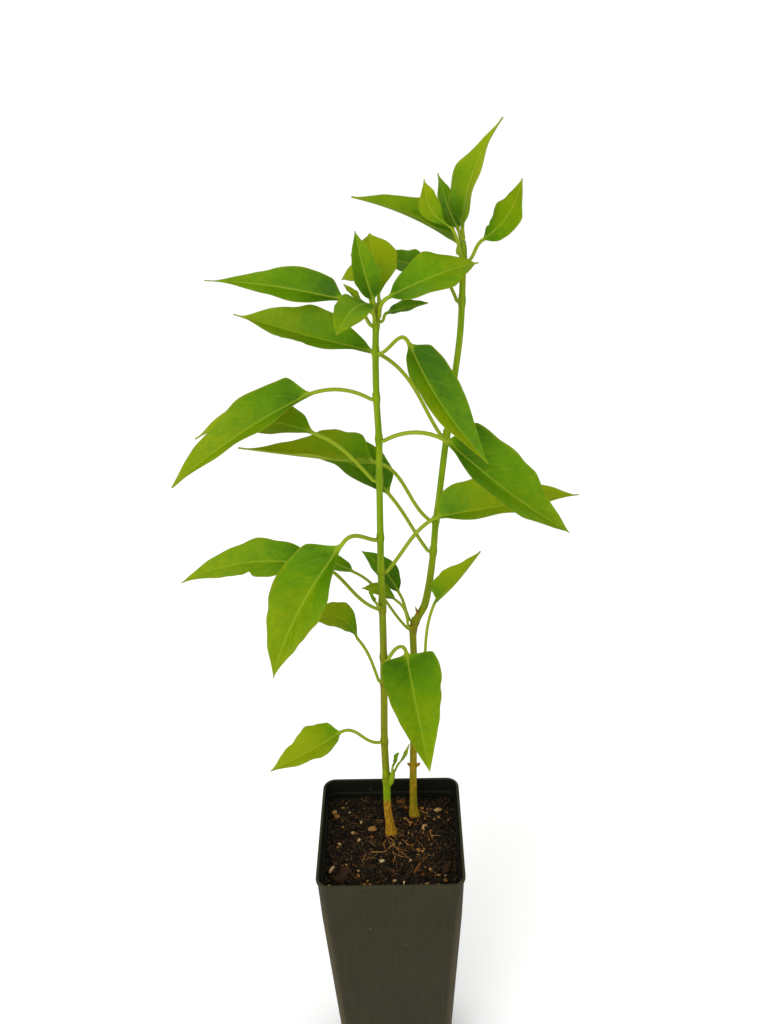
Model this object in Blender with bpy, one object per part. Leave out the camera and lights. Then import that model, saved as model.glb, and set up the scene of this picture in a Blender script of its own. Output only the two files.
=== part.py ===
"""Potted chilli pepper plant: two young plants in a tall square seedling pot.

The pot stands on z = 0 with its centre line on the Z axis. The front of the pot faces -Y.
Every size below is in millimetres or degrees, and MM turns millimetres into metres.
"""

import math
from collections import namedtuple

import bmesh
import bpy
from mathutils import Vector, noise
from mathutils.geometry import interpolate_bezier

MM = 0.001

# Clearance between pieces that touch on the real plant
GAP = 0.3

# Pot
POT_HEIGHT = 120.0
POT_RIM_WIDTH = 50.0
POT_BASE_WIDTH = 38.0
POT_WALL = 1.1
POT_FLOOR = 1.4
POT_CORNER = 4.5
CORNER_POINTS = 5
CUT_SIDES = 16
LIP_HEIGHT = 1.6
LIP_PROUD = 0.35
LIP_ROUND = 0.35
RIM_EDGE = 0.2
STEP_DEPTH = 5.5
STEP_WIDTH = 0.45
FOOT_BEVEL = 1.0
DRAIN_DIAMETER = 4.0
DRAIN_REACH = 12.5

# Soil
SOIL_LEVEL = 112.0
SOIL_RELIEF = 1.2
SOIL_CORNER = 3.4
LUMP_SIZE = 5.0
FINE_LUMPS = 3.0
SOIL_CELLS = 22
HOLE_DEPTH = 25.0
STEM_HOLE_CLEARANCE = 0.35

# Stems: points (x, y, z, radius) from the buried foot to the growing tip
MAIN_STEM = (
    (0.0, 6.0, 87.3, 1.6),
    (0.0, 6.0, 111.0, 1.9),
    (-0.3, 6.0, 115.0, 1.5),
    (-1.0, 6.0, 124.0, 1.3),
    (-1.0, 6.0, 137.0, 1.25),
    (-1.2, 6.0, 155.0, 1.2),
    (-0.8, 6.0, 172.0, 1.15),
    (-0.4, 6.0, 190.0, 1.15),
    (-0.2, 6.0, 209.0, 1.1),
    (-0.2, 6.0, 223.0, 1.05),
    (0.0, 6.0, 235.0, 1.0),
    (0.3, 6.0, 254.0, 0.95),
    (0.6, 6.0, 267.5, 0.95),
    (0.3, 6.0, 280.0, 0.9),
    (0.5, 6.0, 293.5, 0.9),
    (0.9, 6.0, 301.0, 0.85),
    (1.4, 6.0, 307.0, 0.6),
)
SECOND_STEM = (
    (8.5, 14.0, 87.3, 1.5),
    (8.5, 14.0, 111.0, 1.7),
    (8.2, 14.0, 115.0, 1.4),
    (8.2, 14.0, 124.0, 1.25),
    (8.4, 14.0, 137.0, 1.25),
    (9.2, 14.0, 166.0, 1.15),
    (9.4, 14.0, 183.0, 1.1),
    (9.3, 14.0, 195.0, 1.15),
    (10.3, 14.0, 199.0, 1.2),
    (13.0, 14.0, 204.5, 1.2),
    (14.3, 14.0, 210.5, 1.15),
    (15.1, 14.0, 216.0, 1.1),
    (16.1, 14.0, 225.0, 1.0),
    (16.9, 14.0, 235.5, 1.0),
    (17.8, 14.0, 243.0, 0.95),
    (19.7, 14.0, 260.0, 0.95),
    (22.5, 14.0, 283.0, 0.9),
    (24.0, 14.0, 296.5, 0.9),
    (24.6, 14.0, 316.0, 0.85),
    (24.6, 14.0, 321.0, 0.55),
)
NODE_SWELL = 0.25
NODE_LENGTH = 1.6

# Each leaf has one row. node is the height where its stalk leaves the stem, and base and tip say
# where the blade starts and ends, measured from the stem at that height. roll turns the blade
# about its length, and fold closes it along the midrib, both in degrees. widest is where along
# the blade it is widest, taper how sharply it runs out, bend how much of the leaf's bend the
# stalk takes and rise how steeply the stalk leaves the stem, all in hundredths. bow is how far
# the blade curves to its right, in millimetres.
Leaf = namedtuple("Leaf", "name node base tip width roll fold widest taper bow bend rise")

MAIN_LEAVES = (
    ("main_bud_low_a", 137.0, (2.5, -2, 9), (4.5, -3, 15.5),
     3, 20, 10, 50, 125, 0, 30, 50),
    ("main_bud_low_b", 139.5, (4.5, 1, 4.5), (8, 1, 13),
     2, 20, 10, 50, 125, 0, 30, 50),
    ("main_leaf_01_low_left", 155.0, (-13.8, -5.1, 9), (-36.9, -15.6, 2),
     12.7, -11, 30, 33, 119, -1.4, 82, -60),
    ("main_leaf_02_small_left", 180.0, (-8.3, 5.8, 13.7), (-22.6, 7.5, 19.8),
     9.9, -23, 23, 54, 109, 2.8, 33, 84),
    ("main_leaf_03_low_front", 190.5, (7.3, -9.2, 8.6), (13.5, -42.8, -9),
     17.4, 6, 33, 26, 101, 1, 86, 72),
    ("main_leaf_04_left", 209.0, (-20.8, 4.5, 14.1), (-64.9, 11.1, 4.2),
     13.3, -32, 25, 33, 118, 1.5, 74, -60),
    ("main_bud_middle", 211.0, (-2, -4.4, 3.9), (-3.3, -6, 9.5),
     3.4, -17, 13, 54, 120, 0.2, 37, 50),
    ("main_leaf_05_right", 223.0, (16.2, 3.4, 16.2), (60.7, 10.3, 19.8),
     17, 20, 38, 35, 140, 5, 41, 20),
    ("main_leaf_06_front_left", 235.0, (-10.6, -12.1, 5.4), (-34.5, -13, -42.1),
     18, -58, 38, 30, 121, 0.9, 83, 13),
    ("main_leaf_07_left_back", 254.5, (-17.5, 0, 15), (-54.5, 9.9, 9.9),
     13, -28, 30, 37, 151, 0.6, 42, 65),
    ("main_leaf_08_right", 267.5, (17.7, -10.1, 4.3), (54.2, -9.7, -26.4),
     17.1, 39, 38, 28, 122, 3.8, 71, 64),
    ("main_leaf_09_left", 280.0, (-17.3, -1.9, 2.9), (-57.7, -12.3, -20.2),
     13.6, -27, 38, 25, 96, -2.3, 57, 104),
    ("main_leaf_10_right_front", 293.5, (8.7, -7.1, 5.5), (28.9, -26.4, -21.4),
     11.9, 18, 38, 36, 117, 2, 99, -6),
    ("main_leaf_11_top_left", 301.0, (-7.6, 3.7, 5.9), (-46.8, 10.4, 10.6),
     10.4, -47, 38, 29, 151, 1.1, 99, 50),
    ("main_leaf_12_top_front", 302.5, (-1.1, -4.8, 5.6), (-9, -26, 5.2),
     8.5, -22, 15, 54, 89, 0.2, 45, 50),
    ("main_leaf_13_upright", 305.5, (-0.7, -2.1, 2.6), (-5.1, 3.2, 20),
     7.6, -14, 20, 39, 123, -0.2, 67, 50),
    ("main_leaf_14_top_back", 304.5, (0.7, 2.1, 2.9), (-1.6, 14.4, 17.7),
     13, 7, 16, 59, 126, -1.1, 36, 50),
    ("main_leaf_15_top_right", 304.0, (2.7, -5.4, 5.9), (27.1, 0.7, 13.1),
     14.2, 26, 15, 47, 146, 0.9, 48, 50),
    ("main_leaf_16_under_right", 299.5, (2.8, -1, 5.2), (13.8, -2.7, 8.3),
     5.2, 21, 21, 41, 121, 0.7, 55, 50),
    ("main_leaf_17_tiny_back", 303.0, (-1.9, 4.1, 5.1), (-9.5, 11.3, 7.5),
     5.8, -49, 16, 60, 104, 2.5, 15, 50),
    ("main_leaf_18_tiny_left", 304.5, (-4, 1, 3), (-8.6, 4, 6.9),
     3, 0, 20, 45, 125, 0, 30, 50),
)

SECOND_LEAVES = (
    ("second_leaf_01_small_left", 195.5, (-18.7, 5.3, 19), (-36.3, 9.1, 20.6),
     5.9, -21, 20, 36, 126, 0.8, 61, 4),
    ("second_leaf_02_right", 168.0, (7.3, -3.8, 40.9), (20.9, -5.3, 60),
     10.1, 16, 37, 28, 124, 3.5, 43, -23),
    ("second_leaf_03_dark_small", 198.5, (-5.1, 2.9, 9.2), (-16.9, 9.7, 21.2),
     7.7, -20, 21, 42, 111, 0.7, 30, 46),
    ("second_leaf_04_pale_small", 197.0, (-5.4, -3, 11.7), (-16.4, -2, 16),
     4.9, -25, 15, 49, 124, 1, 54, 80),
    ("second_leaf_05_left_back", 225.0, (-13.1, 5.1, 17.3), (-40.5, 21.3, 24.1),
     13.8, -18, 36, 35, 125, 0.3, 11, 25),
    ("second_leaf_06_left", 236.0, (-17.8, 2.2, 19.1), (-58.1, -0.8, 26.6),
     16.1, -8, 38, 22, 157, -1.5, 89, -24),
    ("second_leaf_07_upper_left", 265.0, (-19, -2.6, 26), (-60, 6.7, 35.6),
     13.3, -30, 38, 47, 153, -3.3, 64, 24),
    ("second_leaf_08_left_small", 304.5, (-7.9, 6.6, 7.6), (-22, 12.2, 10.4),
     8.9, -27, 13, 44, 115, -1.4, 73, 91),
    ("second_leaf_09_upper_right", 316.0, (4.6, -1.2, 5.1), (14.2, -5.4, 21.5),
     9.6, 59, 3, 49, 134, 0.8, -60, 71),
    ("second_leaf_10_top_left", 318.0, (-1.5, -0.8, 2.8), (-29.1, -1.5, 15.6),
     9.7, -21, 37, 33, 135, -1.5, 48, 50),
    ("second_leaf_11_narrow", 319.0, (-1, 4.6, 3.6), (-6.3, 9.5, 17.7),
     7, -9, 15, 40, 133, -1, 39, 50),
    ("second_leaf_12_top", 321.4, (-0.4, -1, 3.4), (9.3, -1.9, 30.4),
     12.3, 34, 22, 29, 154, 0.5, 20, 50),
    ("second_leaf_13_pale_front", 316.5, (-3.4, -7.1, 9.5), (-10.4, -8.3, 22.1),
     6.2, -70, 8, 60, 135, -2.6, 99, 72),
)

# Leaf form
STALK_RADIUS = 0.4
STALK_RADIUS_PER_WIDTH = 0.012
BLADE_THICKNESS = 0.6
TAIL_FROM = 1.2
TAIL = 0.12
TIP_HALF_WIDTH = 0.35
BLADE_START = 0.12
FOLD_SOFTNESS = 0.15
EDGE_WAVE = 0.10
WAVES = 2.5
WAVE_SHIFT = 1.6
CURVE_HANDLE = 0.36
STALK_ROW = 3.2
BLADE_ROW = 3.4
MIN_ROWS = 3
COLUMNS = 4

POT_COLOUR = (0.030, 0.031, 0.024)
SOIL_COLOUR = (0.022, 0.013, 0.008)
STEM_COLOUR = (0.19, 0.26, 0.035)
LEAF_COLOUR = (0.13, 0.27, 0.012)
POT_ROUGHNESS = 0.55
SOIL_ROUGHNESS = 0.95
PLANT_ROUGHNESS = 0.45
SHARP_ANGLE = math.radians(40)


def clear_scene():
    for item in list(bpy.data.objects):
        bpy.data.objects.remove(item, do_unlink=True)


def give_material(data, colour, roughness):
    material = bpy.data.materials.new(data.name)
    material.use_nodes = True
    shader = material.node_tree.nodes["Principled BSDF"]
    shader.inputs["Base Color"].default_value = (*colour, 1.0)
    shader.inputs["Roughness"].default_value = roughness
    shader.inputs["Metallic"].default_value = 0.0
    data.materials.append(material)


def place_object(name, data):
    item = bpy.data.objects.new(name, data)
    bpy.context.scene.collection.objects.link(item)
    return item


def finish_object(name, bm, colour, roughness):
    """Turn a closed bmesh in millimetres into a named object with its own material."""
    if bm.calc_volume(signed=True) < 0.0:
        bmesh.ops.reverse_faces(bm, faces=bm.faces)
    bmesh.ops.scale(bm, vec=(MM, MM, MM), verts=bm.verts)
    mesh = bpy.data.meshes.new(name)
    bm.to_mesh(mesh)
    bm.free()
    mesh.shade_smooth()
    mesh.set_sharp_from_angle(angle=SHARP_ANGLE)
    give_material(mesh, colour, roughness)
    return place_object(name, mesh)


def pot_half_width(height):
    """Half the outer width of the pot wall, which tapers evenly to the base."""
    share = height / POT_HEIGHT
    return 0.5 * (POT_BASE_WIDTH + (POT_RIM_WIDTH - POT_BASE_WIDTH) * share)


def rounded_square(bm, half, corner, height):
    """Add a closed loop of vertices: a square with quarter-circle corners."""
    verts = []
    for turn in range(4):
        centre = Vector((half - corner, half - corner, 0.0))
        for step in range(CORNER_POINTS):
            angle = math.radians(90.0 * step / (CORNER_POINTS - 1))
            point = centre + corner * Vector((math.cos(angle), math.sin(angle), 0.0))
            quarter = math.radians(90.0 * turn)
            x = point.x * math.cos(quarter) - point.y * math.sin(quarter)
            y = point.x * math.sin(quarter) + point.y * math.cos(quarter)
            verts.append(bm.verts.new((x, y, height)))
    return [bm.edges.new((verts[i - 1], verts[i])) for i in range(len(verts))]


def loft(bm, rings):
    """Bridge loops in order and close the first and the last with a flat face."""
    loops = [rounded_square(bm, half, corner, height) for half, corner, height in rings]
    for lower, upper in zip(loops, loops[1:]):
        bmesh.ops.bridge_loops(bm, edges=lower + upper)
    bmesh.ops.contextual_create(bm, geom=loops[0])
    bmesh.ops.contextual_create(bm, geom=loops[-1])


def cutter(name, radius, height, place):
    """A cylinder that stands on its place and is only used to cut."""
    bm = bmesh.new()
    bmesh.ops.create_cone(
        bm, cap_ends=True, segments=CUT_SIDES, radius1=radius, radius2=radius, depth=height
    )
    bmesh.ops.translate(bm, vec=Vector(place) + Vector((0, 0, height / 2)), verts=bm.verts)
    item = finish_object(name, bm, POT_COLOUR, POT_ROUGHNESS)
    item.hide_render = True
    item.display_type = "WIRE"
    return item


def cut(item, tool):
    boolean = item.modifiers.new(tool.name, "BOOLEAN")
    boolean.operation = "DIFFERENCE"
    boolean.solver = "EXACT"
    boolean.object = tool


def make_pot():
    """Thin tapered wall: up the outside, over the lip, down the inside past the stacking step."""
    rim = pot_half_width(POT_HEIGHT)
    under_lip = POT_HEIGHT - LIP_HEIGHT
    step = POT_HEIGHT - STEP_DEPTH
    inner_corner = POT_CORNER - POT_WALL
    inset = POT_WALL + STEP_WIDTH
    rings = (
        (pot_half_width(0) - FOOT_BEVEL, POT_CORNER - FOOT_BEVEL, 0.0),
        (pot_half_width(FOOT_BEVEL), POT_CORNER, FOOT_BEVEL),
        (pot_half_width(under_lip) - LIP_PROUD, POT_CORNER, under_lip),
        (rim, POT_CORNER, under_lip + LIP_PROUD),
        (rim, POT_CORNER, POT_HEIGHT - LIP_ROUND),
        (rim - LIP_ROUND, POT_CORNER - LIP_ROUND, POT_HEIGHT),
        (rim - POT_WALL + RIM_EDGE, inner_corner + RIM_EDGE, POT_HEIGHT),
        (rim - POT_WALL, inner_corner, POT_HEIGHT - 2 * RIM_EDGE),
        (pot_half_width(step) - POT_WALL, inner_corner, step),
        (pot_half_width(step - STEP_WIDTH) - inset, POT_CORNER - inset, step - STEP_WIDTH),
        (pot_half_width(POT_FLOOR) - inset, POT_CORNER - inset, POT_FLOOR),
    )
    bm = bmesh.new()
    loft(bm, rings)
    pot = finish_object("pot", bm, POT_COLOUR, POT_ROUGHNESS)
    for side_x in (-1, 1):
        for side_y in (-1, 1):
            place = (side_x * DRAIN_REACH, side_y * DRAIN_REACH, -POT_FLOOR)
            name = f"drain_{'left' if side_x < 0 else 'right'}_{'front' if side_y < 0 else 'back'}"
            cut(pot, cutter(name, DRAIN_DIAMETER / 2, 3 * POT_FLOOR, place))
    return pot


def soil_height(x, y):
    """Level of the potting mix, with lumps of two sizes."""
    place = Vector((x, y, 0.0)) / LUMP_SIZE
    lumps = noise.noise(place) + 0.5 * noise.noise(FINE_LUMPS * place)
    return SOIL_LEVEL + SOIL_RELIEF * lumps


def make_soil():
    """Plug of potting mix that fills the pot, with a plain hole for each stem."""
    bm = bmesh.new()
    bmesh.ops.create_grid(bm, x_segments=SOIL_CELLS, y_segments=SOIL_CELLS, size=1.0)
    inset = POT_WALL + STEP_WIDTH + GAP
    floor = POT_FLOOR + GAP
    top_half = pot_half_width(SOIL_LEVEL) - inset
    base_half = pot_half_width(floor) - inset
    straight = top_half - SOIL_CORNER
    for vert in bm.verts:
        x = vert.co.x * top_half
        y = vert.co.y * top_half
        past = Vector((max(abs(x) - straight, 0.0), max(abs(y) - straight, 0.0)))
        if past.x > 0 and past.y > 0:
            past *= max(past) / past.length
            x = math.copysign(straight + past.x, x)
            y = math.copysign(straight + past.y, y)
        vert.co = (x, y, soil_height(x, y))
    rim = [edge for edge in bm.edges if edge.is_boundary]
    walls = bmesh.ops.extrude_edge_only(bm, edges=rim)["geom"]
    lower = [item for item in walls if isinstance(item, bmesh.types.BMVert)]
    for vert in lower:
        vert.co.x *= base_half / top_half
        vert.co.y *= base_half / top_half
        vert.co.z = floor
    bmesh.ops.contextual_create(bm, geom=[edge for edge in bm.edges if edge.is_boundary])
    soil = finish_object("soil", bm, SOIL_COLOUR, SOIL_ROUGHNESS)
    for name, path in (("main_hole", MAIN_STEM), ("second_hole", SECOND_STEM)):
        x, y, _, radius = path[1]
        place = (x, y, SOIL_LEVEL - HOLE_DEPTH)
        cut(soil, cutter(name, radius + STEM_HOLE_CLEARANCE, 2 * HOLE_DEPTH, place))
    return soil


def stem_at(path, height):
    """Axis point and radius of a stem at a height, on a smooth curve through its points."""
    index = 0
    while index < len(path) - 2 and path[index + 1][2] < height:
        index += 1
    before, start, end, after = (
        Vector(path[min(max(index + step, 0), len(path) - 1)]) for step in (-1, 0, 1, 2)
    )
    span = end.z - start.z
    share = (height - start.z) / span
    leave = (end - before) * span / (end.z - before.z)
    reach = (after - start) * span / (after.z - start.z)
    share2 = share * share
    share3 = share2 * share
    point = (
        start * (2 * share3 - 3 * share2 + 1)
        + leave * (share3 - 2 * share2 + share)
        + end * (3 * share2 - 2 * share3)
        + reach * (share3 - share2)
    )
    radius = start.w + (end.w - start.w) * share
    return Vector((point.x, point.y, height)), radius


def make_stem(name, path, leaves):
    """Tapered stem as a bevelled curve, a little swollen where each leaf stalk leaves it."""
    nodes = [leaf.node for leaf in leaves]
    heights = {row[2] for row in path}
    for node in nodes:
        heights.update((node - NODE_LENGTH, node, node + NODE_LENGTH))
    heights = sorted(h for h in heights if path[0][2] <= h <= path[-1][2])
    curve = bpy.data.curves.new(name, "CURVE")
    curve.dimensions = "3D"
    curve.bevel_depth = MM
    curve.bevel_resolution = 3
    curve.use_fill_caps = True
    spline = curve.splines.new("POLY")
    spline.points.add(len(heights) - 1)
    for point, height in zip(spline.points, heights):
        place, radius = stem_at(path, height)
        nearest = min(abs(height - node) for node in nodes)
        swell = NODE_SWELL * max(0.0, 1.0 - nearest / NODE_LENGTH)
        point.co = (*(place * MM), 1.0)
        point.radius = radius + swell
    spline.use_smooth = True
    give_material(curve, STEM_COLOUR, PLANT_ROUGHNESS)
    return place_object(name, curve)


def smooth_step(value):
    value = min(max(value, 0.0), 1.0)
    return value * value * (3.0 - 2.0 * value)


def blade_half_width(share, leaf):
    """Half width along the blade: rounded near the stalk, drawn out to a thin tail at the tip."""
    widest = leaf.widest / 100
    taper = leaf.taper / 100
    share = min(share * (1.0 + TAIL * max(0.0, taper - TAIL_FROM)), 1.0)
    swell = taper * widest / (1.0 - widest)
    wide = (share / widest) ** swell * ((1.0 - share) / (1.0 - widest)) ** taper
    return max(0.5 * leaf.width * wide, TIP_HALF_WIDTH)


def arc_directions(stalk, blade, bend, rise):
    """Directions at the stem, where the blade starts, and at the tip, for two joined arcs."""
    along_stalk = stalk.normalized()
    along_blade = blade.normalized()
    middle = along_stalk.lerp(along_blade, bend).normalized()
    mirrored = 2.0 * along_stalk.dot(middle) * along_stalk - middle
    leave = along_stalk.lerp(mirrored, rise).normalized()
    arrive = 2.0 * along_blade.dot(middle) * along_blade - middle
    return leave, middle, arrive


def leaf_line(start, base, tip, rows, directions):
    """Points along the stalk and the midrib, in one smooth line."""
    leave, middle, arrive = directions
    stalk_handle = CURVE_HANDLE * (base - start).length
    blade_handle = CURVE_HANDLE * (tip - base).length
    stalk_points = interpolate_bezier(
        start, start + leave * stalk_handle, base - middle * stalk_handle, base, rows[0] + 1
    )
    blade_points = interpolate_bezier(
        base, base + middle * blade_handle, tip - arrive * blade_handle, tip, rows[1] + 1
    )
    return stalk_points + blade_points[1:]


def leaf_section(across, upper, share, leaf, stalk_radius):
    """One point of the cross-section, sideways and upwards from the midrib.

    across runs from -1 to 1 over the leaf, and share is 0 where the blade starts and 1 at its
    tip, and below 0 on the stalk. The round stalk turns into the thin folded blade.
    """
    column = (across + 1.0) * COLUMNS / 2
    side_angle = math.radians(180.0 * (column + 0.5) / (COLUMNS + 1))
    round_side = -stalk_radius * math.cos(side_angle)
    round_up = stalk_radius * math.sin(side_angle) * (1.0 if upper else -1.0)
    if share <= 0.0:
        return round_side, round_up
    half = blade_half_width(share, leaf)
    slope = math.tan(math.radians(leaf.fold))
    lift = slope * (math.hypot(across, FOLD_SOFTNESS) - FOLD_SOFTNESS)
    phase = 2.0 * math.pi * WAVES * share + (WAVE_SHIFT if across > 0 else 0.0)
    wave = EDGE_WAVE * across * across * math.sin(phase)
    up = half * (lift + wave)
    if not upper:
        up -= BLADE_THICKNESS / math.cos(math.radians(leaf.fold))
    blend = smooth_step(share / BLADE_START)
    side = round_side + (half * across - round_side) * blend
    return side, round_up + (up - round_up) * blend


def leaf_frames(line, stalk_rows, leaf):
    """For each point of the line: its place, sideways and upwards, and its share of the blade."""
    blade_rows = len(line) - 1 - stalk_rows
    heading = Vector(leaf.tip) - Vector(leaf.base)
    heading = Vector((heading.x, heading.y, 0.0)).normalized()
    sideways = heading.cross(Vector((0.0, 0.0, 1.0)))
    frames = []
    for index, place in enumerate(line):
        ahead = line[min(index + 1, len(line) - 1)]
        behind = line[max(index - 1, 0)]
        forward = (ahead - behind).normalized()
        side = (sideways - forward * sideways.dot(forward)).normalized()
        up = side.cross(forward)
        share = (index - stalk_rows) / blade_rows
        turn = math.radians(leaf.roll) * smooth_step(share + 0.5)
        turned_side = side * math.cos(turn) - up * math.sin(turn)
        turned_up = up * math.cos(turn) + side * math.sin(turn)
        bow = leaf.bow * 4.0 * max(share, 0.0) * (1.0 - share)
        frames.append((place + turned_side * bow, turned_side, turned_up, share))
    return frames


def make_leaf(path, leaf):
    """Closed solid of a leaf with its stalk, which starts just clear of the stem."""
    stalk_radius = STALK_RADIUS + STALK_RADIUS_PER_WIDTH * leaf.width
    stem_end = path[-1][2]
    axis, stem_radius = stem_at(path, min(leaf.node, stem_end))
    axis.z = leaf.node
    stalk = Vector(leaf.base)
    base = axis + stalk
    tip = axis + Vector(leaf.tip)
    directions = arc_directions(stalk, tip - base, leaf.bend / 100, leaf.rise / 100)
    start = axis
    if leaf.node < stem_end:
        outward = Vector((stalk.x, stalk.y, 0.0)).normalized()
        clear = GAP + stalk_radius * abs(directions[0].z)
        start = axis + outward * (stem_radius + NODE_SWELL + clear)
    stalk_rows = max(MIN_ROWS, round((base - start).length / STALK_ROW))
    blade_rows = max(MIN_ROWS, round((tip - base).length / BLADE_ROW))
    line = leaf_line(start, base, tip, (stalk_rows, blade_rows), directions)
    frames = leaf_frames(line, stalk_rows, leaf)
    bm = bmesh.new()
    bmesh.ops.create_grid(bm, x_segments=COLUMNS, y_segments=len(line) - 1, size=1.0)
    bmesh.ops.triangulate(bm, faces=bm.faces)
    bmesh.ops.solidify(bm, geom=bm.faces[:], thickness=1.0)
    middle = sum(vert.co.z for vert in bm.verts) / len(bm.verts)
    for vert in bm.verts:
        place, side, up, share = frames[round((vert.co.y + 1.0) / 2.0 * (len(line) - 1))]
        across = round(vert.co.x * COLUMNS / 2) / (COLUMNS / 2)
        sideward, upward = leaf_section(across, vert.co.z > middle, share, leaf, stalk_radius)
        vert.co = place + side * sideward + up * upward
    return finish_object(leaf.name, bm, LEAF_COLOUR, PLANT_ROUGHNESS)


def main():
    clear_scene()
    make_pot()
    make_soil()
    for name, path, rows in (
        ("main_stem", MAIN_STEM, MAIN_LEAVES),
        ("second_stem", SECOND_STEM, SECOND_LEAVES),
    ):
        leaves = [Leaf(*row) for row in rows]
        make_stem(name, path, leaves)
        for leaf in leaves:
            make_leaf(path, leaf)


main()
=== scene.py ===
# %% [markdown]
# # A potted chilli pepper plant
# Two young chilli plants share one tall, square seedling pot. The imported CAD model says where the
# pot, the potting mix, the two stems and every leaf sit. This lesson builds each of them again in
# the same place, but finer, gives them procedural finishes, and looks at them on a plain floor.
# All sizes in the code are millimetres, because a seedling is easier to think about that way.
# The last step of every piece turns them into metres, Blender's own unit.

# %% Load the frame
import math
import random
from collections import namedtuple

import bmesh
import bpy
from mathutils import Matrix, Quaternion, Vector, noise
from mathutils.geometry import interpolate_bezier


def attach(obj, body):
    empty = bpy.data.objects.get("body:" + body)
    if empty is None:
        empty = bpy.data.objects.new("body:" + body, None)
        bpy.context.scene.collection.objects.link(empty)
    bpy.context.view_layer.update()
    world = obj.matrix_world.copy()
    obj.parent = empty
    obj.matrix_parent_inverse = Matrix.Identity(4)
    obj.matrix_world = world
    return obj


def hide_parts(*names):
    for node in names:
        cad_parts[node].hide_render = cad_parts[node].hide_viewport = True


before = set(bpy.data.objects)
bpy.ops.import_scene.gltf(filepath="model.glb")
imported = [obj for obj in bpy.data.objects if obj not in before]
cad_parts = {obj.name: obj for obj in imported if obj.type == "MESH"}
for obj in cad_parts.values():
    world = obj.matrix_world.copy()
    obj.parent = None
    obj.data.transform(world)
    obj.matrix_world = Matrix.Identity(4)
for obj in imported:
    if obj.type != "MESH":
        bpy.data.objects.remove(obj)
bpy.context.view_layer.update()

# %% [markdown]
# ## Handing over a piece
# Every piece is modelled as a bmesh, Blender's editable mesh. One helper does what each of them
# needs at the end: the scale to metres, smooth shading with creases where faces meet sharply, the
# materials, the line that ties the piece to the CAD body, and hiding the CAD nodes it stands for.
# A second helper starts a bmesh whose vertices carry values, which a material can read later.

# %% Finish a piece
MM = 0.001
ROOT = "root"


def hand_over(name, bm, materials, nodes=(), crease=50.0):
    """Turn a bmesh in millimetres into a named piece that rides on the plant's one body."""
    bmesh.ops.scale(bm, vec=(MM, MM, MM), verts=bm.verts)
    mesh = bpy.data.meshes.new(name)
    bm.to_mesh(mesh)
    bm.free()
    mesh.shade_smooth()
    mesh.set_sharp_from_angle(angle=math.radians(crease))
    for material in materials:
        mesh.materials.append(material)
    piece = bpy.data.objects.new(name, mesh)
    bpy.context.scene.collection.objects.link(piece)
    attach(piece, ROOT)
    if nodes:
        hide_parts(*nodes)
    return piece


def layered_mesh(*names):
    """An empty bmesh whose vertices carry named values for a material to read."""
    bm = bmesh.new()
    for name in names:
        bm.verts.layers.float.new(name)
    return bm


def smooth_step(value):
    """0 below 0, 1 above 1, and an even S-curve between them."""
    value = min(max(value, 0.0), 1.0)
    return value * value * (3.0 - 2.0 * value)


print("pieces are scaled by", MM, "and ride on", ROOT)

# %% [markdown]
# ## Small words for shader nodes
# A procedural finish is a network of small nodes. Typing out every node and link hides the idea,
# so a few helpers shorten it: one adds a node and fills its sockets with numbers or with the
# outputs of other nodes, two do arithmetic, one fades evenly between two ends, and one mixes two
# colours by a mask.

# %% Node helpers
def put(tree, kind, inputs=None, **settings):
    """Add a shader node. An input may be a plain value or another node's output socket."""
    node = tree.nodes.new("ShaderNode" + kind)
    for key, value in settings.items():
        setattr(node, key, value)
    for key, value in (inputs or {}).items():
        if isinstance(value, bpy.types.NodeSocket):
            tree.links.new(value, node.inputs[key])
        else:
            node.inputs[key].default_value = value
    return node


def calc(tree, operation, *values, clamp=False):
    """Arithmetic on sockets and numbers."""
    return put(tree, "Math", dict(enumerate(values)), operation=operation, use_clamp=clamp).outputs[0]


def times(tree, *values):
    """The first value times the second, plus the third where there is one."""
    return calc(tree, "MULTIPLY_ADD" if len(values) == 3 else "MULTIPLY", *values)


def fade(tree, value, low, high, start=0.0, end=1.0):
    """Go smoothly from start to end while value goes from low to high."""
    inputs = {"Value": value, "From Min": low, "From Max": high, "To Min": start, "To Max": end}
    return put(tree, "MapRange", inputs, interpolation_type="SMOOTHSTEP").outputs[0]


def mix(tree, mask, first, second):
    """The first colour where the mask is 0, and the second where it is 1."""
    ends = [(*colour, 1.0) if isinstance(colour, tuple) else colour for colour in (first, second)]
    node = put(tree, "Mix", {0: mask, 6: ends[0], 7: ends[1]}, data_type="RGBA")
    return node.outputs[2]


# %% [markdown]
# ## Effects that several finishes share
# Nothing that grew, or that stood in a nursery, has one flat colour. Three effects come back in
# almost every finish here, so each is built once as a node group with named inputs and outputs:
# cloudy patches, streaks drawn out along the stem or the pot's wall, and loose dust.

# %% Node group builder
FLOAT, VECTOR = "NodeSocketFloat", "NodeSocketVector"


def new_group(name, inputs, outputs):
    """An empty node group with its named sockets."""
    group = bpy.data.node_groups.new(name, "ShaderNodeTree")
    for label, kind, value in inputs:
        socket = group.interface.new_socket(name=label, in_out="INPUT", socket_type=kind)
        if value is not None:
            socket.default_value = value
    for label in outputs:
        group.interface.new_socket(name=label, in_out="OUTPUT", socket_type=FLOAT)
    source = group.nodes.new("NodeGroupInput").outputs
    result = group.nodes.new("NodeGroupOutput").inputs
    return group, source, result


def use_group(tree, group, inputs):
    """Place a node group in a material, with its own values."""
    return put(tree, "Group", inputs, node_tree=group).outputs


# %% Cloudy patches
PER_METRE = 1000.0

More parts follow.
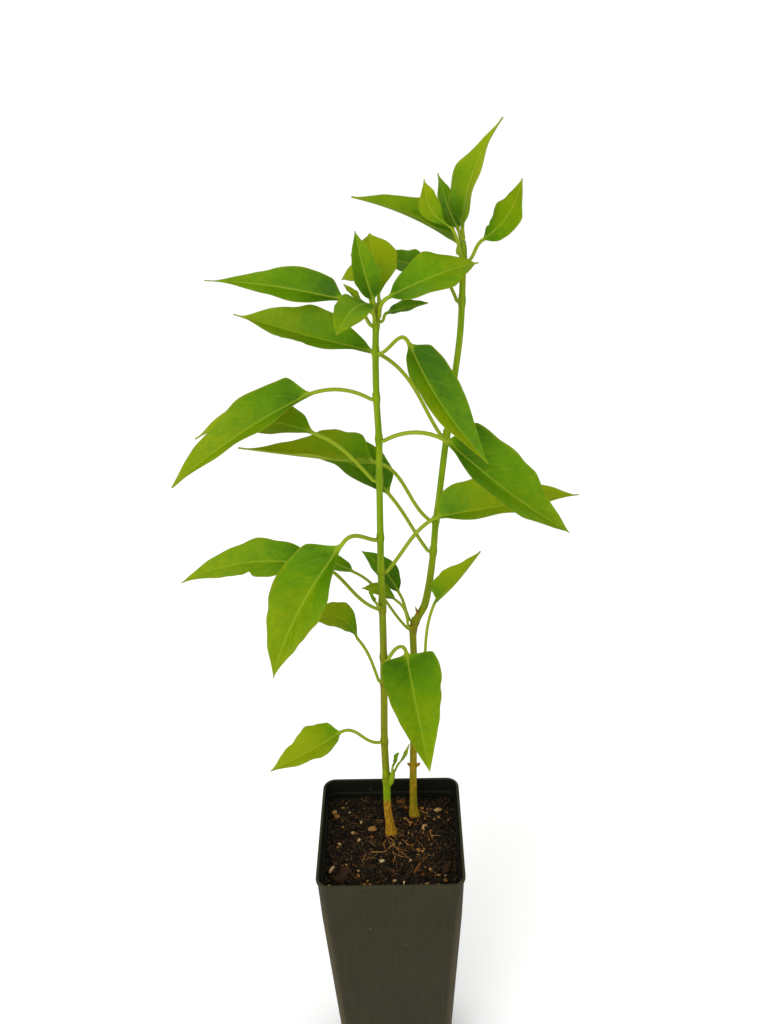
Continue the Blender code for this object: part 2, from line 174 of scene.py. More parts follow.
patches, source, result = new_group(
    "cloudy patches",
    (("Position", VECTOR, None), ("Patch size", FLOAT, 4.0), ("Contrast", FLOAT, 1.0)),
    ("Value",),
)
frequency = calc(patches, "DIVIDE", PER_METRE, source["Patch size"])
cloud = put(patches, "TexNoise", {"Vector": source["Position"], "Scale": frequency, "Detail": 3.0})
centred = calc(patches, "SUBTRACT", cloud.outputs["Fac"], 0.5)
spread = times(patches, centred, source["Contrast"])
patches.links.new(calc(patches, "ADD", spread, 0.5, clamp=True), result["Value"])
print(patches.name, "takes", len(patches.nodes), "nodes")

# %% Streaks along the height
streaks, source, result = new_group(
    "upright streaks",
    (("Position", VECTOR, None), ("Streak width", FLOAT, 0.5), ("Stretch", FLOAT, 12.0)),
    ("Value",),
)
slower = calc(streaks, "DIVIDE", 1.0, source["Stretch"])
scale = put(streaks, "CombineXYZ", {"X": 1.0, "Y": 1.0, "Z": slower}).outputs[0]
squeezed = put(streaks, "VectorMath", {0: source["Position"], 1: scale}, operation="MULTIPLY").outputs[0]
frequency = calc(streaks, "DIVIDE", PER_METRE, source["Streak width"])
drawn = put(streaks, "TexNoise", {"Vector": squeezed, "Scale": frequency, "Detail": 2.0})
streaks.links.new(fade(streaks, drawn.outputs["Fac"], 0.3, 0.7), result["Value"])
print(streaks.name, "takes", len(streaks.nodes), "nodes")

# %% Loose specks
specks, source, result = new_group(
    "loose specks",
    (
        ("Position", VECTOR, None), ("Spacing", FLOAT, 2.0), ("Speck size", FLOAT, 0.15),
        ("Share", FLOAT, 0.3),
    ),
    ("Value",),
)
frequency = calc(specks, "DIVIDE", PER_METRE, source["Spacing"])
cells = put(specks, "TexVoronoi", {"Vector": source["Position"], "Scale": frequency})
reach = calc(specks, "DIVIDE", source["Speck size"], source["Spacing"])
dot = calc(specks, "LESS_THAN", cells.outputs["Distance"], reach)
draw = put(specks, "SeparateColor", {0: cells.outputs["Color"]}).outputs[0]
chosen = calc(specks, "LESS_THAN", draw, source["Share"])
specks.links.new(times(specks, dot, chosen), result["Value"])
print(specks.name, "takes", len(specks.nodes), "nodes")


# %% Shared effects in a few words
def clouds(tree, here, size, contrast):
    """Cloudy patches, 0 to 1, of a size in millimetres."""
    inputs = {"Position": here, "Patch size": size, "Contrast": contrast}
    return use_group(tree, patches, inputs)["Value"]


def drawn_out(tree, here, width, stretch):
    """Upright streaks, 0 to 1, of a width in millimetres."""
    inputs = {"Position": here, "Streak width": width, "Stretch": stretch}
    return use_group(tree, streaks, inputs)["Value"]


def dots(tree, here, spacing, size, share):
    """1 on a loose speck and 0 between them, in millimetres. Only a share of the places has one."""
    inputs = {"Position": here, "Spacing": spacing, "Speck size": size, "Share": share}
    return use_group(tree, specks, inputs)["Value"]


print("shared effects can now be placed in one line each")

# %% [markdown]
# ## The veins of a leaf
# A chilli leaf has one pale midrib and six or seven pairs of side veins, which leave it at a slant
# and sweep towards the tip. Both faces of the leaf show them, and so does its shape: the skin
# bulges a little between the veins. So that the colours fall exactly on the shape, the same
# formula is used twice, once here as nodes and later in the mesh. The leaf's UV map holds the
# place across the leaf (0 to 1, with the midrib at one half) and along it (0 at the stalk). The
# group also marks the very edge of the blade, which is painted a little yellower than the rest:
# partly the leaf's own paler edge and partly painted rim light.

# %% Vein group
VEIN_PAIRS = 7.0
VEIN_SLANT = 0.16
VEIN_SWEEP = 0.12
SIDE_SHIFT = 0.45

veins, source, result = new_group(
    "leaf veins",
    (
        ("Across and along", VECTOR, None), ("From midrib", FLOAT, 0.0), ("Rib width", FLOAT, 0.4),
        ("Vein width", FLOAT, 0.1),
    ),
    ("Midrib", "Side veins", "Bulge", "Margin"),
)
place = put(veins, "SeparateXYZ", {0: source["Across and along"]}).outputs
signed = times(veins, place["X"], 2.0, -1.0)
outward = calc(veins, "ABSOLUTE", signed)
shift = times(veins, calc(veins, "GREATER_THAN", signed, 0.0), SIDE_SHIFT)
bend = times(veins, times(veins, outward, VEIN_SWEEP, VEIN_SLANT), outward)
steps = times(veins, calc(veins, "SUBTRACT", place["Y"], bend), VEIN_PAIRS, shift)
wave = calc(veins, "ABSOLUTE", calc(veins, "SINE", times(veins, steps, math.pi)))
inside = times(veins, fade(veins, outward, 1.0, 0.75), fade(veins, place["Y"], 0.0, 0.08))
line = fade(veins, wave, source["Vein width"], 0.0)
veins.links.new(times(veins, line, inside), result["Side veins"])
thin = times(veins, place["Y"], -0.75, 1.0)
rib = times(veins, source["Rib width"], thin)
veins.links.new(fade(veins, source["From midrib"], rib, 0.0), result["Midrib"])
veins.links.new(wave, result["Bulge"])
veins.links.new(fade(veins, outward, 0.90, 1.0), result["Margin"])
print("vein group with", VEIN_PAIRS, "pairs")

# %% [markdown]
# ## Leaf finishes
# The upper face of a chilli leaf is a clear yellow-green with a soft gloss. It is deeper near the
# stalk, partly its own colour and partly painted shade, yellower where the leaf is young, and
# yellower towards the tip, partly painted light shining through. The underside is paler and
# greyer, with raised veins and no gloss. Light also passes through a leaf, so a Translucent
# shader is mixed in. Each leaf carries an attribute called tone, from deep green at 0 to
# yellow-green at 1, so one pair of materials serves them all. Clouds, a fine mottling and a few
# pale flecks keep the green from looking printed.

# %% Leaf materials
DEEP_GREEN = (0.042, 0.128, 0.001)
FRESH_GREEN = (0.115, 0.250, 0.001)
YELLOW_GREEN = (0.262, 0.335, 0.001)
VEIN_GREEN = (0.330, 0.415, 0.025)
EDGE_YELLOW_AND_RIM_LIGHT = (0.270, 0.290, 0.008)
FLECK_PALE = (0.420, 0.440, 0.100)
UNDER_DEEP = (0.100, 0.190, 0.005)
UNDER_FRESH = (0.185, 0.300, 0.009)
UNDER_YELLOW = (0.310, 0.380, 0.018)
LIGHT_THROUGH = (0.250, 0.400, 0.002)
CLOUD_SWING = 0.40
MOTTLE_SWING = 0.22
BULGE_HIGHLIGHT_SWING = 0.05
NET_SCALE = 1400.0


def new_material(name):
    """An empty node material, with its tree and its output node."""
    material = bpy.data.materials.new(name)
    material.use_nodes = True
    tree = material.node_tree
    tree.nodes.clear()
    return material, tree, put(tree, "OutputMaterial")


def object_place(tree):
    """The place on the piece, in its own coordinates."""
    return put(tree, "TexCoord").outputs["Object"]


def attribute(tree, name):
    """A value that the mesh carries at its vertices."""
    return put(tree, "Attribute", attribute_name=name).outputs["Fac"]


def bumpy_skin(tree, colour, roughness, gloss, relief, strength, depth):
    """A Principled shader whose relief is a bump of a depth in metres."""
    bump = put(tree, "Bump", {"Strength": strength, "Distance": depth, "Height": relief})
    inputs = {"Base Color": colour, "Roughness": roughness, "Specular IOR Level": gloss}
    return put(tree, "BsdfPrincipled", {**inputs, "Normal": bump.outputs[0]}).outputs[0]


def colour_ramp(tree, tone, colours):
    """Evenly spaced colours, from the first where tone is 0 to the last where it is 1."""
    ramp = put(tree, "ValToRGB", {0: tone})
    for _ in colours[2:]:
        ramp.color_ramp.elements.new(0.5)
    for index, (stop, colour) in enumerate(zip(ramp.color_ramp.elements, colours)):
        stop.position = index / (len(colours) - 1)
        stop.color = (*colour, 1.0)
    return ramp.outputs[0]


def leaf_material(name, colours, roughness, gloss, vein_strength, through):
    material, tree, output = new_material(name)
    here = object_place(tree)
    across = put(tree, "UVMap", uv_map="leaf").outputs[0]
    beside = attribute(tree, "beside")
    tone = attribute(tree, "tone")
    lines = use_group(
        tree, veins,
        {"Across and along": across, "From midrib": beside, "Rib width": 0.55, "Vein width": 0.16},
    )
    cloudy = clouds(tree, here, 5.0, 1.2)
    mottled = clouds(tree, here, 1.5, 2.0)
    wandering = times(tree, calc(tree, "SUBTRACT", cloudy, 0.5), CLOUD_SWING, tone)
    wandering = times(tree, calc(tree, "SUBTRACT", mottled, 0.5), MOTTLE_SWING, wandering)
    # Painted highlight: the skin bulging between the veins is made a little lighter, on top of the
    # leaf's own clouds and mottling.
    tone_and_bulge_highlight = times(tree, lines["Bulge"], BULGE_HIGHLIGHT_SWING, wandering)
    skin = colour_ramp(tree, tone_and_bulge_highlight, colours)
    side = times(tree, lines["Side veins"], 0.35 * vein_strength)
    drawn = calc(tree, "MAXIMUM", times(tree, lines["Midrib"], vein_strength), side)
    colour = mix(tree, drawn, skin, VEIN_GREEN)
    # The yellow margin is partly the leaf's own paler edge and partly painted rim light.
    colour = mix(tree, times(tree, lines["Margin"], 0.5), colour, EDGE_YELLOW_AND_RIM_LIGHT)
    colour = mix(tree, times(tree, dots(tree, here, 7.0, 0.4, 0.10), 0.45), colour, FLECK_PALE)
    cells = put(tree, "TexVoronoi", {"Vector": here, "Scale": NET_SCALE}, feature="DISTANCE_TO_EDGE")
    net = fade(tree, cells.outputs["Distance"], 0.0, 0.12)
    shine = times(tree, cloudy, 0.14, roughness)
    surface = bumpy_skin(tree, colour, shine, gloss, times(tree, net, 0.3, cloudy), 0.35, 0.00008)
    glow = put(tree, "BsdfTranslucent", {"Color": (*LIGHT_THROUGH, 1.0)})
    blend = put(tree, "MixShader", {0: through, 1: surface, 2: glow.outputs[0]})
    tree.links.new(blend.outputs[0], output.inputs["Surface"])
    return material


leaf_top = leaf_material("leaf_top", (DEEP_GREEN, FRESH_GREEN, YELLOW_GREEN), 0.42, 0.07, 0.66, 0.25)
leaf_under = leaf_material("leaf_under", (UNDER_DEEP, UNDER_FRESH, UNDER_YELLOW), 0.60, 0.04, 0.60, 0.35)
print("leaf materials:", leaf_top.name, leaf_under.name)

# %% [markdown]
# ## Where the stems run
# Each stem is a smooth line through measured points, thick at the foot and thin at the tip. The
# points and the curve between them are the CAD model's own, repeated here. The same curve also
# says where each leaf stalk starts.

# %% Stem lines
MAIN_STEM = (
    (0.0, 6.0, 87.3, 1.6),
    (0.0, 6.0, 111.0, 1.9),
    (-0.3, 6.0, 115.0, 1.5),
    (-1.0, 6.0, 124.0, 1.3),
    (-1.0, 6.0, 137.0, 1.25),
    (-1.2, 6.0, 155.0, 1.2),
    (-0.8, 6.0, 172.0, 1.15),
    (-0.4, 6.0, 190.0, 1.15),
    (-0.2, 6.0, 209.0, 1.1),
    (-0.2, 6.0, 223.0, 1.05),
    (0.0, 6.0, 235.0, 1.0),
    (0.3, 6.0, 254.0, 0.95),
    (0.6, 6.0, 267.5, 0.95),
    (0.3, 6.0, 280.0, 0.9),
    (0.5, 6.0, 293.5, 0.9),
    (0.9, 6.0, 301.0, 0.85),
    (1.4, 6.0, 307.0, 0.6),
)
SECOND_STEM = (
    (8.5, 14.0, 87.3, 1.5),
    (8.5, 14.0, 111.0, 1.7),
    (8.2, 14.0, 115.0, 1.4),
    (8.2, 14.0, 124.0, 1.25),
    (8.4, 14.0, 137.0, 1.25),
    (9.2, 14.0, 166.0, 1.15),
    (9.4, 14.0, 183.0, 1.1),
    (9.3, 14.0, 195.0, 1.15),
    (10.3, 14.0, 199.0, 1.2),
    (13.0, 14.0, 204.5, 1.2),
    (14.3, 14.0, 210.5, 1.15),
    (15.1, 14.0, 216.0, 1.1),
    (16.1, 14.0, 225.0, 1.0),
    (16.9, 14.0, 235.5, 1.0),
    (17.8, 14.0, 243.0, 0.95),
    (19.7, 14.0, 260.0, 0.95),
    (22.5, 14.0, 283.0, 0.9),
    (24.0, 14.0, 296.5, 0.9),
    (24.6, 14.0, 316.0, 0.85),
    (24.6, 14.0, 321.0, 0.55),
)


def stem_at(path, height):
    """Axis point and radius of a stem at a height, on a smooth curve through its points."""
    index = 0
    while index < len(path) - 2 and path[index + 1][2] < height:
        index += 1
    before, start, end, after = (
        Vector(path[min(max(index + step, 0), len(path) - 1)]) for step in (-1, 0, 1, 2)
    )
    span = end.z - start.z
    share = (height - start.z) / span
    leave = (end - before) * span / (end.z - before.z)
    reach = (after - start) * span / (after.z - start.z)
    share2 = share * share
    share3 = share2 * share
    point = (
        start * (2 * share3 - 3 * share2 + 1)
        + leave * (share3 - 2 * share2 + share)
        + end * (3 * share2 - 2 * share3)
        + reach * (share3 - share2)
    )
    radius = start.w + (end.w - start.w) * share
    return Vector((point.x, point.y, height)), radius


print("main stem", MAIN_STEM[-1][2] - MAIN_STEM[0][2], "mm long")

# %% [markdown]
# ## The leaves, one row each
# No two leaves hang alike, so each has a row of its own. node is the height where its stalk
# leaves the stem, and base and tip say where the blade starts and ends, measured from the stem at
# that height. width is the blade's, if it were laid flat. roll turns the blade about its length
# and fold closes it along the midrib, both in degrees. widest is where along the blade it is
# widest, taper how sharply it runs out, bend how much of the leaf's bend the stalk takes and rise
# how steeply the stalk leaves the stem, all in hundredths. bow is how far the blade curves to its
# right, in millimetres. tone goes from deep green at 0 to yellow-green at 1.

# %% Leaf table
Leaf = namedtuple("Leaf", "name node base tip width roll fold widest taper bow bend rise tone")

MAIN_LEAVES = (
    ("main_bud_low_a", 137.0, (2.5, -2, 9), (4.5, -3, 15.5),
     3, 40, 10, 45, 85, 0, 30, 50, 0.2),
    ("main_bud_low_b", 139.5, (4.5, 1, 4.5), (8, 1, 13),
     2, 20, 10, 50, 125, 0, 30, 50, 0.7),
    ("main_leaf_01_low_left", 155.0, (-13.8, -5.1, 9), (-36.9, -15.6, 2),
     12.7, -11, 30, 33, 119, -1.4, 82, -60, 1.0),
    ("main_leaf_02_small_left", 180.0, (-8.3, 5.8, 13.7), (-22.6, 7.5, 19.8),
     9.9, -23, 23, 54, 109, 2.8, 33, 84, 0.8),
    ("main_leaf_03_low_front", 190.5, (7.3, -9.2, 8.6), (13.5, -42.8, -9),
     17.4, 6, 33, 26, 101, 1, 86, 72, 0.55),
    ("main_leaf_04_left", 209.0, (-20.8, 4.5, 14.1), (-64.9, 11.1, 4.2),
     13.3, -32, 25, 33, 118, 1.5, 74, -60, 0.6),
    ("main_bud_middle", 211.0, (-2, -4.4, 3.9), (-3.3, -6, 9.5),
     3.4, -17, 13, 54, 120, 0.2, 37, 50, 0.1),
    ("main_leaf_05_right", 223.0, (16.2, 3.4, 16.2), (60.7, 10.3, 19.8),
     17, 20, 38, 35, 140, 5, 41, 20, 0.85),
    ("main_leaf_06_front_left", 235.0, (-10.6, -12.1, 5.4), (-34.5, -13, -42.1),
     18, -58, 38, 30, 121, 0.9, 83, 13, 0.62),
    ("main_leaf_07_left_back", 254.5, (-17.5, 0, 15), (-54.5, 9.9, 9.9),
     13, -28, 30, 37, 151, 0.6, 42, 65, 0.95),
    ("main_leaf_08_right", 267.5, (17.7, -10.1, 4.3), (54.2, -9.7, -26.4),
     17.1, 39, 38, 28, 122, 3.8, 71, 64, 0.45),
    ("main_leaf_09_left", 280.0, (-17.3, -1.9, 2.9), (-57.7, -12.3, -20.2),
     13.6, -27, 38, 25, 96, -2.3, 57, 104, 0.6),
    ("main_leaf_10_right_front", 293.5, (8.7, -7.1, 5.5), (28.9, -26.4, -21.4),
     11.9, 18, 38, 36, 117, 2, 99, -6, 0.3),
    ("main_leaf_11_top_left", 301.0, (-7.6, 3.7, 5.9), (-46.8, 10.4, 10.6),
     10.4, -47, 38, 29, 151, 1.1, 99, 50, 0.4),
    ("main_leaf_12_top_front", 302.5, (-1.1, -4.8, 5.6), (-9, -26, 5.2),
     8.5, -22, 15, 54, 89, 0.2, 45, 50, 0.42),
    ("main_leaf_13_upright", 305.5, (-0.7, -2.1, 2.6), (-5.1, 3.2, 20),
     7.6, -14, 20, 39, 123, -0.2, 67, 50, 0.3),
    ("main_leaf_14_top_back", 304.5, (0.7, 2.1, 2.9), (-1.6, 14.4, 17.7),
     13, 7, 16, 59, 126, -1.1, 36, 50, 0.85),
    ("main_leaf_15_top_right", 304.0, (2.7, -5.4, 5.9), (27.1, 0.7, 13.1),
     14.2, 26, 15, 47, 146, 0.9, 48, 50, 0.5),
    ("main_leaf_16_under_right", 302.3, (2.8, -1, 2.4), (13.8, -2.7, 5.5),
     5.2, 21, 21, 41, 121, 0.7, 55, 50, 0.15),
    ("main_leaf_17_tiny_back", 303.0, (-1.9, 4.1, 5.1), (-9.5, 11.3, 7.5),
     5.8, -49, 16, 60, 104, 2.5, 15, 50, 0.7),
    ("main_leaf_18_tiny_left", 304.5, (-4, 1, 3), (-8.6, 4, 6.9),
     3, 0, 20, 45, 125, 0, 30, 50, 0.8),
)
SECOND_LEAVES = (
    ("second_leaf_01_small_left", 195.5, (-18.7, 5.3, 19), (-36.3, 9.1, 20.6),
     5.9, -21, 20, 36, 126, 0.8, 61, 4, 0.6),
    ("second_leaf_02_right", 168.0, (7.3, -3.8, 40.9), (20.9, -5.3, 60),
     10.1, 16, 37, 28, 124, 3.5, 43, -23, 0.85),
    ("second_leaf_03_dark_small", 198.5, (-5.1, 2.9, 9.2), (-16.9, 9.7, 21.2),
     7.7, -20, 21, 42, 111, 0.7, 30, 46, 0.05),
    ("second_leaf_04_pale_small", 197.0, (-5.4, -3, 11.7), (-16.4, -2, 16),
     4.9, -25, 15, 49, 124, 1, 54, 80, 0.6),
    ("second_leaf_05_left_back", 225.0, (-13.1, 5.1, 17.3), (-40.5, 21.3, 24.1),
     13.8, -18, 36, 35, 125, 0.3, 11, 25, 0.3),
    ("second_leaf_06_left", 236.0, (-17.8, 2.2, 19.1), (-58.1, -0.8, 26.6),
     16.1, -8, 38, 22, 157, -1.5, 89, -24, 0.9),
    ("second_leaf_07_upper_left", 265.0, (-19, -2.6, 26), (-60, 6.7, 35.6),
     13.3, -30, 38, 47, 153, -3.3, 64, 24, 0.55),
    ("second_leaf_08_left_small", 304.5, (-7.9, 6.6, 7.6), (-22, 12.2, 10.4),
     8.9, -27, 13, 44, 115, -1.4, 73, 91, 0.15),
    ("second_leaf_09_upper_right", 316.0, (4.6, -1.2, 5.1), (14.2, -5.4, 21.5),
     9.6, 59, 3, 43, 126, 0.8, -60, 71, 0.62),
    ("second_leaf_10_top_left", 318.0, (-1.5, -0.8, 2.8), (-29.1, -1.5, 15.6),
     9.7, -21, 37, 33, 135, -1.5, 48, 50, 0.5),
    ("second_leaf_11_narrow", 319.0, (-1, 4.6, 3.6), (-6.3, 9.5, 17.7),
     7, -9, 15, 40, 133, -1, 39, 50, 0.2),
    ("second_leaf_12_top", 321.4, (-0.4, -1, 3.4), (9.3, -1.9, 30.4),
     12.3, 34, 22, 29, 154, 0.5, 20, 50, 0.75),
    ("second_leaf_13_pale_front", 316.5, (-3.4, -7.1, 9.5), (-10.4, -8.3, 22.1),
     6.2, -70, 8, 60, 135, -2.6, 99, 72, 0.65),
)
PLANTS = [
    (path, [Leaf(*row) for row in rows])
    for path, rows in ((MAIN_STEM, MAIN_LEAVES), (SECOND_STEM, SECOND_LEAVES))
]
print([len(leaves) for _, leaves in PLANTS], "leaves and buds on the two stems")

# %% [markdown]
# ## The line of a leaf
# A leaf's stalk and midrib make one bent line: it leaves the stem, arches over under the blade's
# weight and runs out to the tip. Two Bezier arcs that meet in one direction give that line. The
# first few points reach back into the stem, so that the stalk grows out of it with no gap.

# %% Leaf line
CURVE_HANDLE = 0.36
NODE_SWELL = 0.25
GAP = 0.3
ROOT_POINTS = 4


def arc_directions(stalk, blade, bend, rise):
    """Directions at the stem, where the blade starts, and at the tip, for two joined arcs."""
    along_stalk = stalk.normalized()
    along_blade = blade.normalized()
    middle = along_stalk.lerp(along_blade, bend).normalized()
    mirrored = 2.0 * along_stalk.dot(middle) * along_stalk - middle
    leave = along_stalk.lerp(mirrored, rise).normalized()
    arrive = 2.0 * along_blade.dot(middle) * along_blade - middle
    return leave, middle, arrive


def arc(start, end, leave, arrive, points):
    """Points on a Bezier arc from start to end, with the directions at both ends."""
    handle = CURVE_HANDLE * (end - start).length
    return interpolate_bezier(start, start + leave * handle, end - arrive * handle, end, points)


def leaf_line(path, leaf, stalk_radius, stalk_step, blade_step):
    """Points of the stalk and of the midrib, and how many of them lie before the blade."""
    stalk = Vector(leaf.base)
    stem_end = path[-1][2]
    axis, stem_radius = stem_at(path, min(leaf.node, stem_end))
    axis.z = leaf.node
    base = axis + stalk
    tip = axis + Vector(leaf.tip)
    leave, middle, arrive = arc_directions(stalk, tip - base, leaf.bend / 100, leaf.rise / 100)
    start = axis
    root = []
    if leaf.node < stem_end:
        outward = Vector((stalk.x, stalk.y, 0.0)).normalized()
        clear = GAP + stalk_radius * abs(leave.z)
        start = axis + outward * (stem_radius + NODE_SWELL + clear)
        inside = axis - Vector((0.0, 0.0, stalk_radius * leave.z))
        root = arc(inside, start, (outward + leave).normalized(), leave, ROOT_POINTS)[:-1]
    stalk_points = max(4, round((base - start).length / stalk_step))
    blade_points = max(12, round((tip - base).length / blade_step))
    line = root + arc(start, base, leave, middle, stalk_points + 1)
    before = len(line) - 1
    return line + arc(base, tip, middle, arrive, blade_points + 1)[1:], before


print("each stalk starts with", ROOT_POINTS - 1, "points inside its stem")

# %% [markdown]
# ## Across a leaf
# The blade is egg-shaped, widest in its first third and drawn out to a fine point. It is folded
# along the midrib like a half-open book, its margins ripple and wobble, and its skin bulges
# between the veins. A few leaves have nicks in the margin, each with its place along the blade,
# its side, depth and reach. Towards the stalk all of that closes up into a round stalk with a
# shallow groove on top.
# One function gives a point of the cross-section, and the mesh asks it for every vertex.

# %% Leaf section
TAIL_FROM = 1.2
TAIL = 0.12
TIP_HALF_WIDTH = 0.07
BLADE_START = 0.12
BLADE_THICKNESS = 0.34
EDGE_THICKNESS = 0.14
FOLD_SOFTNESS = 0.15
EDGE_WAVE = 0.10
WAVES = 2.5
WAVE_SHIFT = 1.6
MARGIN_WOBBLE = 0.08
WOBBLES = 9.0
BULGE = 0.20
RIB_HEIGHT = 0.45
RIB_HALF_WIDTH = 0.42
RIM_ANGLE = 4.0
STALK_GROOVE = 0.22
STALK_RADIUS = 0.4
STALK_RADIUS_PER_WIDTH = 0.012


def blade_half_width(share, leaf):
    """Half width along the blade: rounded near the stalk, drawn out to a thin tail at the tip."""
    widest = leaf.widest / 100
    taper = leaf.taper / 100
    share = min(share * (1.0 + TAIL * max(0.0, taper - TAIL_FROM)), 1.0)
    swell = taper * widest / (1.0 - widest)
    wide = (share / widest) ** swell * ((1.0 - share) / (1.0 - widest)) ** taper
    return max(0.5 * leaf.width * wide, TIP_HALF_WIDTH)


NICKS = {
    "main_leaf_04_left": ((0.44, -1, 0.30, 0.025), (0.50, -1, 0.10, 0.05)),
    "second_leaf_09_upper_right": ((0.19, -1, 0.20, 0.022),),
    "second_leaf_07_upper_left": ((0.45, -1, 0.10, 0.015), (0.62, -1, 0.08, 0.015)),
}


def margin(across, share, leaf):
    """Share of the half width that is left where the margin wobbles or has a nick."""
    seed = leaf.node + (40.0 if across > 0 else 0.0)
    left = 1.0 + MARGIN_WOBBLE * noise.noise(Vector((share * WOBBLES, seed, 0.0)))
    for place, side, depth, reach in NICKS.get(leaf.name, ()):
        if across * side > 0:
            left -= depth * math.exp(-(((share - place) / reach) ** 2))
    return left


def bulge(across, share):
    """Rise of the skin between the side veins, 0 on a vein, at the midrib and at the margin."""
    outward = abs(across)
    shift = SIDE_SHIFT if across > 0 else 0.0
    steps = (share - outward * (VEIN_SLANT + VEIN_SWEEP * outward)) * VEIN_PAIRS + shift
    window = smooth_step(outward / 0.3) * smooth_step((1.0 - outward) / 0.3)
    ends = smooth_step(share / 0.2) * smooth_step((1.0 - share) / 0.4)
    return abs(math.sin(math.pi * steps)) * window * ends


def leaf_section(across, spread, upper, share, leaf, stalk_radius):
    """One point of the cross-section, sideways and upwards from the midrib, in millimetres."""
    angle = math.radians(RIM_ANGLE + (180.0 - 2.0 * RIM_ANGLE) * (spread + 1.0) / 2.0)
    round_side = -stalk_radius * math.cos(angle)
    round_up = stalk_radius * math.sin(angle) * (1.0 if upper else -1.0)
    if upper:
        round_up -= STALK_GROOVE * stalk_radius * (1.0 - abs(spread)) ** 2
    if share <= 0.0:
        return round_side, round_up
    half = blade_half_width(share, leaf) * margin(across, share, leaf)
    slope = math.tan(math.radians(leaf.fold))
    lift = slope * (math.hypot(across, FOLD_SOFTNESS) - FOLD_SOFTNESS)
    phase = 2.0 * math.pi * WAVES * share + (WAVE_SHIFT if across > 0 else 0.0)
    up = half * (lift + EDGE_WAVE * across * across * math.sin(phase))
    up += BULGE * (leaf.width / 16.0) * bulge(across, share)
    if not upper:
        thickness = BLADE_THICKNESS + (EDGE_THICKNESS - BLADE_THICKNESS) * across * across
        rib = RIB_HEIGHT * (1.0 - 0.8 * share) * math.exp(-((half * across / RIB_HALF_WIDTH) ** 2))
        up -= (thickness + rib * min(1.0, leaf.width / 12.0)) / math.cos(math.radians(leaf.fold))
    mixed = smooth_step(share / BLADE_START)
    side = round_side + (half * across - round_side) * mixed
    return side, round_up + (up - round_up) * mixed


widest_leaf = max((leaf for _, leaves in PLANTS for leaf in leaves), key=lambda leaf: leaf.width)
print(widest_leaf.name, "is", round(2 * blade_half_width(0.5, widest_leaf), 1), "mm wide half way")

# %% [markdown]
# ## Building the leaves
# A flat grid is the simplest start: solidify gives it two faces and a rim, and then every vertex
# is carried to its place on the leaf. The columns crowd towards the midrib, where the shape turns
# most. The upper faces get the glossy material, the rest the pale one, and three values go along
# for the materials: the place on the leaf, the distance from the midrib, and the tone. The tone
# is darker near the stalk, partly the leaf's own colour and partly painted shade, and rises to the
# tip, partly painted light shining through. On a few leaves one half is painted lighter and the
# other darker, as painted light and shade.

# %% Leaf builder
WIDE_LEAF = 8.0
WIDE_COLUMNS = 24
SMALL_COLUMNS = 14
COLUMN_CROWDING = 1.3
BLADE_STEP = 0.75
STALK_STEP = 1.0
TOP, UNDER = 0, 1
# TONE_RISE and BASE_SHADE are partly painted light: the tip is made yellower for light shining through
# it, and the stalk end darker as painted shade, on top of the leaf's own gradient.
TONE_RISE = 0.5
BASE_SHADE = 0.36
SHADE_REACH = 0.4
STALK_TONE = 0.8
# Painted light and shade: on these leaves one half is made lighter and the other darker, as the light
# falls on them.
HALF_LIGHT_AND_SHADE = {
    "main_leaf_10_right_front": (-0.15, 0.35),
    "second_leaf_12_top": (-0.10, 0.15),
    "main_leaf_13_upright": (-0.05, 0.10),
    "second_leaf_06_left": (0.10, -0.10),
}


def leaf_frames(line, before, leaf):
    """For each point of the line: its place, sideways and upwards, and its share of the blade."""
    heading = Vector(leaf.tip) - Vector(leaf.base)
    sideways = Vector((heading.x, heading.y, 0.0)).normalized().cross(Vector((0.0, 0.0, 1.0)))
    frames = []
    for index, place in enumerate(line):
        ahead = line[min(index + 1, len(line) - 1)]
        behind = line[max(index - 1, 0)]
        forward = (ahead - behind).normalized()
        side = (sideways - forward * sideways.dot(forward)).normalized()
        up = side.cross(forward)
        share = (index - before) / (len(line) - 1 - before)
        turn = math.radians(leaf.roll) * smooth_step(share + 0.5)
        turned_side = side * math.cos(turn) - up * math.sin(turn)
        turned_up = up * math.cos(turn) + side * math.sin(turn)
        bow = leaf.bow * 4.0 * max(share, 0.0) * (1.0 - share)
        frames.append((place + turned_side * bow, turned_side, turned_up, share))
    return frames


